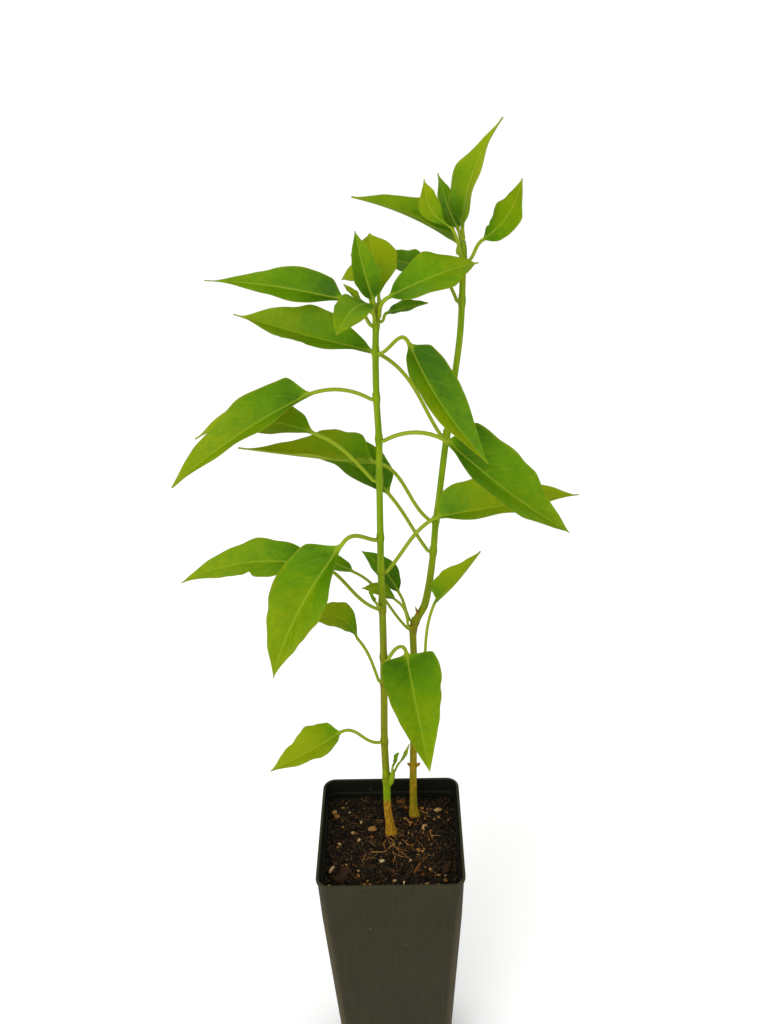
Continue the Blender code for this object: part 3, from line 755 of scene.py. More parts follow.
def grow_leaf(path, leaf):
    stalk_radius = STALK_RADIUS + STALK_RADIUS_PER_WIDTH * leaf.width
    line, before = leaf_line(path, leaf, stalk_radius, STALK_STEP, BLADE_STEP)
    frames = leaf_frames(line, before, leaf)
    columns = WIDE_COLUMNS if leaf.width > WIDE_LEAF else SMALL_COLUMNS
    rows = len(line) - 1
    bm = bmesh.new()
    bmesh.ops.create_grid(bm, x_segments=columns, y_segments=rows, size=1.0)
    bmesh.ops.solidify(bm, geom=bm.faces[:], thickness=1.0)
    middle = sum(vert.co.z for vert in bm.verts) / len(bm.verts)
    for face in bm.faces:
        face.material_index = TOP if face.calc_center_median().z > middle + 0.4 else UNDER
    uv = bm.loops.layers.uv.new("leaf")
    beside = bm.verts.layers.float.new("beside")
    tones = bm.verts.layers.float.new("tone")
    places = {}
    for vert in bm.verts:
        place, side, up, share = frames[round((vert.co.y + 1.0) / 2.0 * rows)]
        spread = round(vert.co.x * columns / 2) / (columns / 2)
        across = math.copysign(abs(spread) ** COLUMN_CROWDING, spread)
        upper = vert.co.z > middle
        sideward, upward = leaf_section(across, spread, upper, share, leaf, stalk_radius)
        on_blade = smooth_step(share / BLADE_START)
        vert[beside] = abs(sideward) * on_blade
        # Painted light and shade on this half of the leaf.
        half_light_and_shade = HALF_LIGHT_AND_SHADE.get(leaf.name, (0.0, 0.0))[1 if across > 0 else 0]
        leaf_tone = leaf.tone + half_light_and_shade * min(1.0, abs(across) * 4.0)
        # Painted shade near the stalk and painted light towards the tip, on top of the leaf's own
        # gradient.
        shade = BASE_SHADE * (1.0 - smooth_step(share / SHADE_REACH))
        leaf_tone += TONE_RISE * (share - SHADE_REACH) - shade
        vert[tones] = STALK_TONE + (leaf_tone - STALK_TONE) * on_blade
        places[vert] = ((across + 1.0) / 2.0, max(share, 0.0))
        vert.co = place + side * sideward + up * upward
    for face in bm.faces:
        for loop in face.loops:
            loop[uv].uv = places[loop.vert]
    if bm.calc_volume(signed=True) < 0.0:
        bmesh.ops.reverse_faces(bm, faces=bm.faces)
    return hand_over(leaf.name + "_grown", bm, (leaf_top, leaf_under), (leaf.name,))


# %% Grow every leaf
grown = [grow_leaf(path, leaf) for path, leaves in PLANTS for leaf in leaves]
print(len(grown), "leaves,", sum(len(piece.data.polygons) for piece in grown), "faces")

# %% [markdown]
# ## Stem finish
# Young chilli stems are green, with fine paler streaks along them. Older wood is brown: the main
# stem turns orange-brown just above the soil, and the second one is brown a little higher up.
# Between wood and young green lies a stretch of older, olive-brown green. Brown rings mark the
# places where leaves are joined. The mesh carries three attributes, woody, collar and aged, that
# say how much of each there is, and one material reads them all.

# %% Stem material
STEM_GREEN = (0.115, 0.200, 0.002)
STEM_STREAK = (0.215, 0.290, 0.003)
STEM_AGED = (0.140, 0.120, 0.003)
WOOD_LIGHT = (0.430, 0.230, 0.012)
WOOD_DARK = (0.180, 0.092, 0.006)
COLLAR_BROWN = (0.130, 0.085, 0.006)

stem_skin, tree, output = new_material("stem_skin")
here = object_place(tree)
woody = attribute(tree, "woody")
collar = attribute(tree, "collar")
aged = attribute(tree, "aged")
cloudy = clouds(tree, here, 2.5, 1.6)
long_streaks = drawn_out(tree, here, 0.7, 14.0)
fine_streaks = drawn_out(tree, here, 0.35, 6.0)
green = mix(tree, times(tree, long_streaks, 0.7), STEM_GREEN, STEM_STREAK)
green = mix(tree, times(tree, aged, times(tree, fine_streaks, 0.6, 0.3)), green, STEM_AGED)
wood = mix(tree, fine_streaks, WOOD_DARK, WOOD_LIGHT)
edge = times(tree, calc(tree, "SUBTRACT", cloudy, 0.5), 0.5, woody)
bark = mix(tree, fade(tree, edge, 0.25, 0.75), green, wood)
ringed = mix(tree, times(tree, collar, times(tree, cloudy, 0.6, 0.3)), bark, COLLAR_BROWN)
relief = times(tree, fine_streaks, times(tree, woody, 0.8, 0.2))
surface = bumpy_skin(tree, ringed, times(tree, woody, 0.25, 0.5), 0.07, relief, 0.5, 0.00015)
tree.links.new(surface, output.inputs["Surface"])
print("stem material reads woody, collar and aged")

# %% [markdown]
# ## Growing tubes
# Stems, stubs, rootlets and fibres are all tubes along a bent line. A circle of vertices at the
# start is extruded ring by ring, and each new ring is turned to face along the line, by the least
# turn from the ring before it, so the tube never twists or pinches. That keeps every ring under
# control, so a stem can swell where a leaf joins it.

# %% Tube helper
def ring_places(points):
    """Turn and place of a flat ring at each point, each turned as little as can be from the last."""
    facing = Vector((0.0, 0.0, 1.0))
    turn = Quaternion()
    places = []
    for index, point in enumerate(points):
        ahead = points[min(index + 1, len(points) - 1)]
        behind = points[max(index - 1, 0)]
        forward = (ahead - behind).normalized()
        turn = facing.rotation_difference(forward) @ turn
        facing = forward
        places.append(Matrix.Translation(point) @ turn.to_matrix().to_4x4())
    return places


def extrude_ring(bm, ring, edges):
    """Extrude a ring of edges. Gives the new vertices, in the order of the old, and the new edges."""
    grown = bmesh.ops.extrude_edge_only(bm, edges=edges)["geom"]
    fresh = {item for item in grown if isinstance(item, bmesh.types.BMVert)}
    ring = [next(e.other_vert(v) for e in v.link_edges if e.other_vert(v) in fresh) for v in ring]
    edges = [item for item in grown if isinstance(item, bmesh.types.BMEdge)
             and item.verts[0] in fresh and item.verts[1] in fresh]
    return ring, edges


def edges_of(ring):
    """The edges at these vertices, each once and always in the same order."""
    return list(dict.fromkeys(edge for vert in ring for edge in vert.link_edges))


def grow_tube(bm, points, radii, sides):
    """Extrude a circle along points. Gives the rings of vertices, from the start to the end."""
    circle = bmesh.ops.create_circle(bm, cap_ends=False, segments=sides, radius=1.0)["verts"]
    flat = [vert.co.copy() for vert in circle]
    ring = circle
    edges = edges_of(ring)
    first_edges = edges
    rings = []
    for index, (place, radius) in enumerate(zip(ring_places(points), radii)):
        if index:
            ring, edges = extrude_ring(bm, ring, edges)
        for vert, corner in zip(ring, flat):
            vert.co = place @ (corner * radius)
        rings.append(ring)
    bmesh.ops.contextual_create(bm, geom=first_edges)
    bmesh.ops.contextual_create(bm, geom=edges)
    return rings


# %% [markdown]
# ## The two stems
# A chilli stem isn't a plain rod. It has five soft ridges, swells where each leaf joins it, and at
# the soil it flares into a cracked, woody foot. The rings lie close enough together to carry each
# joint, and a little noise moves their vertices. The growing tip is narrow and ends blunt, because
# the youngest leaves hide it.

# %% Stem builder
STEM_VALUES = ("woody", "collar", "aged")
STEM_SIDES = 28
RIDGES = 5
RIDGE_DEPTH = 0.035
RIDGE_TWIST = 0.02
JOINT_REACH = 2.2
STEM_RING = 1.1
BARK_ROUGHNESS = 0.07
COLLAR_REACH = 1.3
COLLAR_BELOW = 0.4
YOUNG_FROM = 205.0
YOUNG_FADE = 30.0
FOOT_LEVEL = 112.0
FOOT_REACH = 7.0
FOOT_FLARE = 0.45
AGED_RISE = 8.0
AGED_FADE = 50.0


def grow_stem(name, path, leaves, wood_amount, wood_top, wood_fade, aged_from, aged_top):
    """Tube with ridges and joints, woody up to wood_top, and of aged green between two heights."""
    joints = [leaf.node for leaf in leaves if leaf.node < path[-1][2]]
    low, high = path[0][2], path[-1][2]
    heights = [low + STEM_RING * step for step in range(int((high - low) / STEM_RING))] + [high]
    points = [stem_at(path, height)[0] for height in heights]
    radii = []
    for height in heights:
        nearest = min(abs(height - joint) for joint in joints)
        swell = NODE_SWELL * smooth_step(1.0 - nearest / JOINT_REACH)
        flare = FOOT_FLARE * smooth_step(1.0 - abs(height - FOOT_LEVEL) / FOOT_REACH)
        radii.append(stem_at(path, height)[1] + swell + flare)
    bm = layered_mesh(*STEM_VALUES)
    woody, collar, aged = (bm.verts.layers.float[value] for value in STEM_VALUES)
    rings = grow_tube(bm, points, radii, STEM_SIDES)
    for ring, height, centre in zip(rings, heights, points):
        wood = wood_amount * (1.0 - smooth_step((height - wood_top) / wood_fade))
        ring_brown = 1.0 - smooth_step((height - YOUNG_FROM) / YOUNG_FADE)
        nearest = min(abs(height - joint + COLLAR_BELOW) for joint in joints)
        for index, vert in enumerate(ring):
            angle = 2.0 * math.pi * index / STEM_SIDES
            ridge = 1.0 + RIDGE_DEPTH * math.cos(RIDGES * angle + RIDGE_TWIST * height)
            crack = noise.noise(Vector((angle * 3.0, angle * 2.0, height * 0.35)))
            rough = BARK_ROUGHNESS * (0.3 + wood) * crack
            vert.co = centre + (vert.co - centre) * (ridge + rough)
            vert[woody] = wood
            vert[collar] = smooth_step(1.0 - nearest / COLLAR_REACH) * ring_brown
            vert[aged] = smooth_step((height - aged_from) / AGED_RISE) * (
                1.0 - smooth_step((height - aged_top) / AGED_FADE)
            )
    return hand_over(name + "_grown", bm, (stem_skin,), (name,))


main_stem = grow_stem(
    "main_stem", *PLANTS[0],
    wood_amount=1.0, wood_top=124.0, wood_fade=9.0, aged_from=138.0, aged_top=185.0,
)
second_stem = grow_stem(
    "second_stem", *PLANTS[1],
    wood_amount=0.5, wood_top=138.0, wood_fade=26.0, aged_from=100.0, aged_top=190.0,
)
print("stem faces:", len(main_stem.data.polygons), len(second_stem.data.polygons))

# %% [markdown]
# ## Side shoots, stubs and tip buds
# At the foot of the main stem a short side shoot carries two tiny leaves. On the second stem two
# dried leaf stubs stick out low down, and a dead bud sits in the bend. Every leaf stalk has a
# small bud in its armpit. All of them are short tubes whose radius follows a profile: a bud
# closes to a point, and a stub ends blunt.

# %% Shoots and stubs
BUD_PROFILE = (0.75, 1.0, 0.95, 0.7, 0.35, 0.06)
STUB_PROFILE = (0.90, 0.85, 0.85, 1.0, 0.95, 0.60)
SHOOT_LINE = ((-0.8, 5.8, 134.9), (0.4, 5.2, 136.4), (0.9, 5.0, 139.0), (1.5, 4.9, 142.6))
SHOOT_RADII = (0.7, 0.95, 1.05, 1.1, 1.1, 1.05, 1.0, 0.85, 0.45)
ARMPIT_LIFT = 0.4
ARMPIT_LEAN = 0.6
ARMPIT_HEIGHT = 1.2
ARMPIT_RADIUS = 0.30


def grow_bud(bm, start, end, radius, woody_value, collar_value, profile=BUD_PROFILE):
    """Short tube whose radius follows a profile: a bud closes to a point, a stub ends blunt."""
    start, end = Vector(start), Vector(end)
    count = len(profile)
    points = [start.lerp(end, step / (count - 1)) for step in range(count)]
    rings = grow_tube(bm, points, [radius * share for share in profile], 12)
    woody, collar, _ = (bm.verts.layers.float[value] for value in STEM_VALUES)
    for ring in rings:
        for vert in ring:
            vert[woody] = woody_value
            vert[collar] = collar_value


bm = layered_mesh(*STEM_VALUES)
shoot = interpolate_bezier(*SHOOT_LINE, len(SHOOT_RADII))
grow_tube(bm, shoot, SHOOT_RADII, 16)
hand_over("main_side_shoot", bm, (stem_skin,))

bm = layered_mesh(*STEM_VALUES)
grow_bud(bm, (8.2, 13.6, 135.6), (6.5, 13.4, 137.9), 0.55, 1.0, 0.9, STUB_PROFILE)
grow_bud(bm, (8.8, 13.6, 135.7), (10.7, 13.4, 137.8), 0.58, 1.0, 0.9, STUB_PROFILE)
grow_bud(bm, (11.2, 13.4, 201.0), (10.0, 12.9, 205.4), 0.5, 1.0, 0.9)
hand_over("second_stem_stubs", bm, (stem_skin,))

bm = layered_mesh(*STEM_VALUES)
for path, leaves in PLANTS:
    for leaf in leaves:
        if leaf.node < path[-1][2] - 8.0 and not leaf.name.startswith("main_bud"):
            axis, radius = stem_at(path, leaf.node)
            outward = Vector((leaf.base[0], leaf.base[1], 0.0)).normalized()
            start = axis + outward * (radius * 0.7) + Vector((0, 0, ARMPIT_LIFT))
            end = start + outward * ARMPIT_LEAN + Vector((0, 0, ARMPIT_HEIGHT))
            grow_bud(bm, start, end, ARMPIT_RADIUS, 0.0, 0.0)
hand_over("armpit_buds", bm, (stem_skin,))
print("side shoot, stubs and buds are on")

# %% [markdown]
# ## Pot finish
# The pot is thin black plastic, used before: matte, faintly olive, with upright draw marks from
# its mould, brown earth rubbed into the corners, a painted highlight as a paler line along the
# lip, and a few loose specks of dust. The worn corners follow the square shape: on a square, the
# distances from the two middle planes add up to the full width only at a corner, so the mask reads
# how far they fall short. Inside, an attribute of the mesh darkens the wall with painted shade.

# %% Pot material
POT_BLACK = (0.0175, 0.0162, 0.0065)
POT_WORN_AND_HIGHLIGHT = (0.0300, 0.0275, 0.0125)
POT_EARTH = (0.075, 0.054, 0.020)
POT_INSIDE_SHADE = (0.003, 0.004, 0.002)
POT_DUST = (0.150, 0.140, 0.090)
BASE_WIDTH_M = 0.038
WIDENING = 0.1
WORN_CORNER_M = (0.0034, 0.0026)
LIP_HEIGHTS_M = (0.1180, 0.1196)

pot_plastic, tree, output = new_material("pot_plastic")
here = object_place(tree)
broad = clouds(tree, here, 22.0, 1.4)
fine = clouds(tree, here, 1.2, 1.5)
marks = drawn_out(tree, here, 0.9, 30.0)
dust = dots(tree, here, 4.0, 0.22, 0.22)
axes = put(tree, "SeparateXYZ", {0: here}).outputs
aside = calc(tree, "ADD", calc(tree, "ABSOLUTE", axes["X"]), calc(tree, "ABSOLUTE", axes["Y"]))
width = times(tree, axes["Z"], WIDENING, BASE_WIDTH_M)
cut_off = calc(tree, "SUBTRACT", width, aside)
rubbed = times(tree, fine, 0.5, times(tree, broad, 0.4))
earthy = times(tree, fade(tree, cut_off, *WORN_CORNER_M), rubbed)
# Painted highlight: a paler band along the lip, where it catches the light. The broad paler patches
# share its colour.
lip = fade(tree, axes["Z"], *LIP_HEIGHTS_M)
wall = mix(tree, times(tree, broad, 0.5, times(tree, marks, 0.25)), POT_BLACK, POT_WORN_AND_HIGHLIGHT)
wall = mix(tree, times(tree, earthy, 0.9), wall, POT_EARTH)
wall = mix(tree, times(tree, lip, times(tree, fine, 0.7, 0.3)), wall, POT_WORN_AND_HIGHLIGHT)
# Painted shade: the inner wall is made darker.
inner_shade = attribute(tree, "inside")
wall = mix(tree, times(tree, inner_shade, 0.9), wall, POT_INSIDE_SHADE)
wall = mix(tree, times(tree, dust, 0.8), wall, POT_DUST)
relief = times(tree, fine, 0.4, marks)
surface = bumpy_skin(tree, wall, times(tree, fine, 0.2, 0.5), 0.08, relief, 0.25, 0.0001)
tree.links.new(surface, output.inputs["Surface"])
print("pot material is in")

# %% [markdown]
# ## The seedling pot
# The pot is one thin skin that goes up the outside, over the rolled lip, down the inside past the
# step that keeps stacked pots apart, and across the floor. A single square face with bevelled
# corners is the start, and its rim is extruded from ring to ring. The floor has four drain holes:
# triangle_fill can fill between an outer loop and the circles inside it, and bridge_loops joins
# the holes of the outer and the inner floor.

# %% Pot builder
POT_HEIGHT = 120.0
POT_RIM_WIDTH = 50.0
POT_BASE_WIDTH = 38.0
POT_WALL = 1.1
POT_FLOOR = 1.4
POT_CORNER = 4.5
CORNER_STEPS = 10
LIP_HEIGHT = 1.6
LIP_PROUD = 0.35
STEP_DEPTH = 5.5
STEP_WIDTH = 0.45
FOOT_BEVEL = 1.0
DRAIN_RADIUS = 2.0
DRAIN_REACH = 12.5
DRAIN_SIDES = 24


def pot_half_width(height):
    """Half the outer width of the pot wall, which tapers evenly to the base."""
    share = height / POT_HEIGHT
    return 0.5 * (POT_BASE_WIDTH + (POT_RIM_WIDTH - POT_BASE_WIDTH) * share)


def pot_profile():
    """Half width, corner radius and height of each ring, from the foot round to the inner floor."""
    rim = pot_half_width(POT_HEIGHT)
    under_lip = POT_HEIGHT - LIP_HEIGHT
    step = POT_HEIGHT - STEP_DEPTH
    inner = POT_CORNER - POT_WALL
    rings = []
    for turn in range(5):
        angle = math.radians(90.0 * turn / 4)
        rings.append((
            pot_half_width(FOOT_BEVEL) - FOOT_BEVEL * (1.0 - math.sin(angle)),
            POT_CORNER - FOOT_BEVEL * (1.0 - math.sin(angle)),
            FOOT_BEVEL * (1.0 - math.cos(angle)),
        ))
    for height in (20.0, 40.0, 60.0, 80.0, 100.0):
        rings.append((pot_half_width(height), POT_CORNER, height))
    rings.append((pot_half_width(under_lip) - LIP_PROUD, POT_CORNER, under_lip))
    rings.append((rim - 0.05, POT_CORNER, under_lip + LIP_PROUD))
    middle = rim - POT_WALL / 2
    for turn in range(7):
        angle = math.radians(180.0 * turn / 6)
        out = POT_WALL / 2 * math.cos(angle)
        level = POT_HEIGHT - POT_WALL / 2 * (1.0 - math.sin(angle))
        rings.append((middle + out, POT_CORNER - POT_WALL / 2 + out, level))
    rings.append((pot_half_width(step) - POT_WALL, inner, step))
    narrow = POT_WALL + STEP_WIDTH
    for height in (step - STEP_WIDTH, 90.0, 60.0, 30.0, POT_FLOOR + 0.5):
        rings.append((pot_half_width(height) - narrow, POT_CORNER - narrow, height))
    rings.append((pot_half_width(POT_FLOOR) - narrow - 0.5, POT_CORNER - narrow - 0.5, POT_FLOOR))
    return rings


def place_ring(ring, directions, half, corner, height):
    """Move a ring of vertices to a rounded square: a straight part and quarter-circle corners."""
    straight = half - corner
    for vert, (centre, offset) in zip(ring, directions):
        x, y = (middle * straight + out * corner for middle, out in zip(centre, offset))
        vert.co = (x, y, height)


def drain_circles(bm, height):
    """Edges of the four drain holes at one height."""
    loops = []
    for x in (-DRAIN_REACH, DRAIN_REACH):
        for y in (-DRAIN_REACH, DRAIN_REACH):
            place = Matrix.Translation((x, y, height))
            circle = bmesh.ops.create_circle(
                bm, segments=DRAIN_SIDES, radius=DRAIN_RADIUS, matrix=place
            )
            loops.append(edges_of(circle["verts"]))
    return loops


# %% Build the pot
rings = pot_profile()
print(len(rings), "rings from the foot to the inner floor")
bm = layered_mesh("inside")
inside = bm.verts.layers.float["inside"]
bmesh.ops.create_grid(bm, x_segments=1, y_segments=1, size=1.0)
bmesh.ops.bevel(
    bm, geom=bm.verts[:], offset=0.5, segments=CORNER_STEPS, profile=0.5, affect="VERTICES", material=-1
)
outline = bm.faces[:][0]
ring = list(outline.verts)
bmesh.ops.delete(bm, geom=[outline], context="FACES_ONLY")
directions = []
for vert in ring:
    centre = (math.copysign(1.0, vert.co.x), math.copysign(1.0, vert.co.y))
    offset = Vector((vert.co.x - 0.5 * centre[0], vert.co.y - 0.5 * centre[1])) / 0.5
    directions.append((centre, offset.normalized()))
edges = bm.edges[:]
place_ring(ring, directions, *rings[0])
outer_edges = edges
for half, corner, height in rings[1:]:
    ring, edges = extrude_ring(bm, ring, edges)
    place_ring(ring, directions, half, corner, height)
    # The inside attribute marks the inner wall, where the finish paints shade.
    within = half < pot_half_width(height) - 0.9 * POT_WALL and height > FOOT_BEVEL
    for vert in ring:
        vert[inside] = 1.0 if within else 0.0
below = drain_circles(bm, 0.0)
above = drain_circles(bm, POT_FLOOR)
for rim, holes in ((outer_edges, below), (edges, above)):
    bmesh.ops.triangle_fill(bm, use_beauty=True, edges=rim + [edge for hole in holes for edge in hole])
for lower, upper in zip(below, above):
    bmesh.ops.bridge_loops(bm, edges=lower + upper)
bmesh.ops.recalc_face_normals(bm, faces=bm.faces)
pot = hand_over("seedling_pot", bm, (pot_plastic,), ("pot",), crease=35.0)
print("pot faces:", len(pot.data.polygons))

# %% [markdown]
# ## Potting mix finish
# Potting mix is dark, damp composted bark: mostly black-brown, with redder crumbs and some that
# have dried to grey-brown. Noise at two scales gives that, and a strong bump makes every crumb
# catch the light on its own.

# %% Soil material
MIX_BLACK = (0.003, 0.002, 0.001)
MIX_BROWN = (0.016, 0.010, 0.004)
MIX_DRY = (0.075, 0.050, 0.019)

potting_mix, tree, output = new_material("potting_mix")
here = object_place(tree)
broad = clouds(tree, here, 2.2, 3.0)
fine = clouds(tree, here, 0.7, 3.0)
grit = dots(tree, here, 1.6, 0.3, 0.12)
colour = mix(tree, broad, MIX_BLACK, MIX_BROWN)
colour = mix(tree, fade(tree, fine, 0.62, 0.95), colour, MIX_DRY)
colour = mix(tree, times(tree, grit, 0.5), colour, POT_DUST)
surface = bumpy_skin(tree, colour, times(tree, fine, 0.2, 0.75), 0.1, fine, 0.9, 0.0005)
tree.links.new(surface, output.inputs["Surface"])
print("potting mix material is in")

# %% [markdown]
# ## The plug of potting mix
# The mix fills the pot to 8 mm below the rim. Its top is a grid whose height follows the CAD
# model's slow lumps, with crumbs of two sizes on top: a Voronoi pattern gives rounded crumbs
# where plain noise would give dunes. The rim of the grid is extruded down to the pot's floor.

# %% Soil builder
SOIL_LEVEL = 112.0
SOIL_RELIEF = 1.2
SOIL_CORNER = 3.4
SOIL_CELLS = 190
LUMP_SIZE = 5.0
FINE_LUMPS = 3.0
CRUMB_SIZES = ((2.8, 1.3), (1.2, 0.8))


def soil_height(x, y):
    """Level of the potting mix, with lumps of two sizes."""
    place = Vector((x, y, 0.0)) / LUMP_SIZE
    lumps = noise.noise(place) + 0.5 * noise.noise(FINE_LUMPS * place)
    return SOIL_LEVEL + SOIL_RELIEF * lumps


def crumbs(x, y):
    """Extra height of the crumbs, rounded on top and cut off by their neighbours."""
    total = 0.0
    for size, height in CRUMB_SIZES:
        distances, _ = noise.voronoi(Vector((x, y, 3.7 * size)) / size)
        total += height * (0.5 - distances[0])
    return total


def soil_surface(x, y):
    return soil_height(x, y) + crumbs(x, y)


bm = bmesh.new()
bmesh.ops.create_grid(bm, x_segments=SOIL_CELLS, y_segments=SOIL_CELLS, size=1.0)
inset = POT_WALL + STEP_WIDTH + 0.05
floor_level = POT_FLOOR + GAP
top_half = pot_half_width(SOIL_LEVEL) - inset
base_half = pot_half_width(floor_level) - inset
straight = top_half - SOIL_CORNER
for vert in bm.verts:
    x = vert.co.x * top_half
    y = vert.co.y * top_half
    past = Vector((max(abs(x) - straight, 0.0), max(abs(y) - straight, 0.0)))
    if past.x > 0 and past.y > 0:
        past *= max(past) / past.length
        x = math.copysign(straight + past.x, x)
        y = math.copysign(straight + past.y, y)
    vert.co = (x, y, soil_surface(x, y))
boundary = [edge for edge in bm.edges if edge.is_boundary]
walls = bmesh.ops.extrude_edge_only(bm, edges=boundary)["geom"]
for vert in (item for item in walls if isinstance(item, bmesh.types.BMVert)):
    vert.co.x *= base_half / top_half
    vert.co.y *= base_half / top_half
    vert.co.z = floor_level
bmesh.ops.contextual_create(bm, geom=[edge for edge in bm.edges if edge.is_boundary])
if bm.calc_volume(signed=True) < 0.0:
    bmesh.ops.reverse_faces(bm, faces=bm.faces)
soil = hand_over("potting_mix_plug", bm, (potting_mix,), ("soil",), crease=70.0)
print("soil faces:", len(soil.data.polygons))

# %% [markdown]
# ## Bark, grains and loose crumbs
# Lying on the mix are loose crumbs, slivers of bark and pale grains. The ones that stand out in
# the real pot have rows of their own, and a seeded random draw adds the crowd, so the pot looks
# the same every time. One material colours them all from an attribute, from dark bark to tan.

# %% Chip material
BARK_COLOURS = (
    (0.004, 0.003, 0.002), (0.026, 0.012, 0.004), (0.170, 0.060, 0.012), (0.300, 0.165, 0.045),
    (0.420, 0.340, 0.190),
)

chip_bark, tree, output = new_material("chip_bark")
here = object_place(tree)
tone = attribute(tree, "tone")
fine = clouds(tree, here, 0.6, 1.8)
varied = times(tree, calc(tree, "SUBTRACT", fine, 0.5), 0.25, tone)
bark_colour = colour_ramp(tree, varied, BARK_COLOURS)
surface = bumpy_skin(tree, bark_colour, times(tree, fine, 0.2, 0.6), 0.1, fine, 0.6, 0.0002)
tree.links.new(surface, output.inputs["Surface"])
print("chip material runs through", len(BARK_COLOURS), "colours")

# %% Chips that stand out
# x, y, length, width, thickness, turn in degrees, tone
CHIPS = (
    (-6.7, 7.3, 3.4, 1.9, 1.3, 15, 0.62),
    (-21.0, 15.5, 2.2, 1.6, 1.2, 20, 0.70),
    (-19.7, 13.1, 2.6, 1.9, 1.4, -10, 0.58),
    (17.0, 15.3, 2.8, 1.6, 1.2, 10, 0.78),
    (12.1, 8.1, 2.4, 2.0, 1.6, 35, 0.80),
    (-18.6, 0.6, 1.6, 1.4, 1.1, 0, 0.85),
    (-11.5, 2.3, 1.4, 1.1, 0.9, 30, 0.85),
    (-13.8, 5.6, 1.3, 1.0, 0.8, 60, 0.80),
    (-3.2, -7.8, 1.8, 1.2, 0.9, 10, 0.95),
    (-20.6, -11.0, 3.2, 1.2, 0.9, 60, 0.85),
    (15.0, -12.9, 2.4, 0.7, 0.6, 80, 0.95),
    (4.4, -16.5, 2.4, 0.6, 0.5, 85, 1.00),
    (16.1, -18.0, 2.4, 1.3, 1.0, -20, 0.62),
    (12.2, -17.5, 1.8, 1.3, 1.0, 30, 0.66),
    (-15.6, -11.5, 4.4, 2.8, 1.3, -15, 0.23),
    (-17.3, -15.3, 5.0, 3.0, 1.4, 20, 0.21),
    (19.2, -11.2, 4.6, 2.6, 1.3, 70, 0.22),
    (9.1, -10.2, 5.2, 1.3, 0.9, 65, 0.40),
    (3.6, 20.6, 3.2, 1.9, 1.4, 5, 0.36),
)
CHIP_SINK = 0.15
DENT = 0.45
DENT_GRAIN = 1.3


def drop_chip(bm, x, y, size, turn, tone_value, seed, rounds=1):
    """Icosphere pressed into a sliver and roughened by noise, lying on the mix."""
    place = Matrix.Translation((x, y, soil_surface(x, y) + size[2] * (0.5 - CHIP_SINK)))
    spin = Matrix.Rotation(math.radians(turn), 4, "Z")
    press = Matrix.Diagonal((*(side / 2 for side in size), 1.0))
    verts = bmesh.ops.create_icosphere(bm, subdivisions=rounds, radius=1.0)["verts"]
    layer = bm.verts.layers.float["tone"]
    for vert in verts:
        dent = 1.0 + DENT * noise.noise(vert.co * DENT_GRAIN + Vector((seed, 2.0 * seed, 0.0)))
        vert.co = place @ spin @ press @ (vert.co * dent)
        vert[layer] = tone_value


bm = layered_mesh("tone")
for seed, (x, y, length, width, thickness, turn, tone_value) in enumerate(CHIPS):
    drop_chip(bm, x, y, (length, width, thickness), turn, tone_value, 7.3 * seed, rounds=3)
hand_over("bark_chips", bm, (chip_bark,), crease=80.0)
print(len(CHIPS), "chips placed by hand")

# %% Loose crumbs
CRUMB_COUNT = 900
CRUMB_SPAN = (0.35, 1.3)
DARK_SHARE = 0.86
DARK_TONES = (0.0, 0.16)
PALE_TONES = (0.18, 0.85)
STEM_FEET = (Vector((0.0, 6.0)), Vector((8.5, 14.0)))
STEM_ROOM = 2.4

draw = random.Random(20)
bm = layered_mesh("tone")
spread = top_half - 1.0
dropped = 0
while dropped < CRUMB_COUNT:
    x, y = draw.uniform(-spread, spread), draw.uniform(-spread, spread)
    size = draw.uniform(*CRUMB_SPAN) ** 1.2
    turn = draw.uniform(0.0, 180.0)
    kind = draw.random()
    if min((Vector((x, y)) - foot).length for foot in STEM_FEET) < STEM_ROOM:
        continue
    tone_value = draw.uniform(*(DARK_TONES if kind < DARK_SHARE else PALE_TONES))
    sides = (size * draw.uniform(1.0, 1.9), size, size * draw.uniform(0.6, 0.9))
    drop_chip(bm, x, y, sides, turn, tone_value, draw.uniform(0.0, 90.0))
    dropped += 1
hand_over("loose_crumbs", bm, (chip_bark,), crease=80.0)
print(dropped, "loose crumbs")

# %% [markdown]
# ## Rootlets
# Fine orange-brown roots show at the foot of both stems, where watering has washed the mix away.
# Each is a thin tube along a wandering line on top of the mix. The larger ones follow the real
# pot, and short random hairs fill in around them.

# %% Rootlets
ROOTLETS = (
    ((-2.6, 4.4), (0.0, 3.6), (2.0, 3.9), (4.6, 6.6)),
    ((-6.9, -3.3), (-4.4, -3.0), (-2.2, -2.5), (-0.8, -1.0), (0.3, -0.2), (2.4, -2.5), (2.7, -5.2),
     (6.2, -6.6)),
    ((-6.9, -3.3), (-7.0, -5.4), (-6.8, -7.7)),
    ((9.6, 16.2), (10.8, 15.8), (13.1, 14.8), (15.0, 16.6)),
    ((9.8, 13.0), (12.2, 13.4), (14.4, 12.2)),
    ((13.8, 5.8), (14.6, 3.2), (16.0, 0.6), (17.4, -2.4)),
    ((14.2, 3.8), (16.2, 4.2), (17.8, 3.4)),
    ((-2.0, 2.6), (-2.6, 0.4), (-2.0, -1.8)),
    ((-0.4, 2.4), (0.8, 0.8), (0.2, -1.2)),
    ((4.0, 2.0), (5.4, 0.2), (6.6, -1.8)),
    ((6.2, 3.2), (5.2, 0.8), (6.6, -0.6), (8.8, 0.2)),
    ((-9.6, -2.0), (-9.0, -4.6), (-10.2, -7.6)),
    ((2.2, -3.4), (4.4, -4.0), (5.2, -6.4)),
    ((0.6, -3.0), (1.4, -5.6), (0.6, -8.0)),
)
ROOT_RADIUS = 0.20
HAIR_COUNT = 260
HAIR_SPREAD = 10.0
HAIR_LIMIT = 18.0
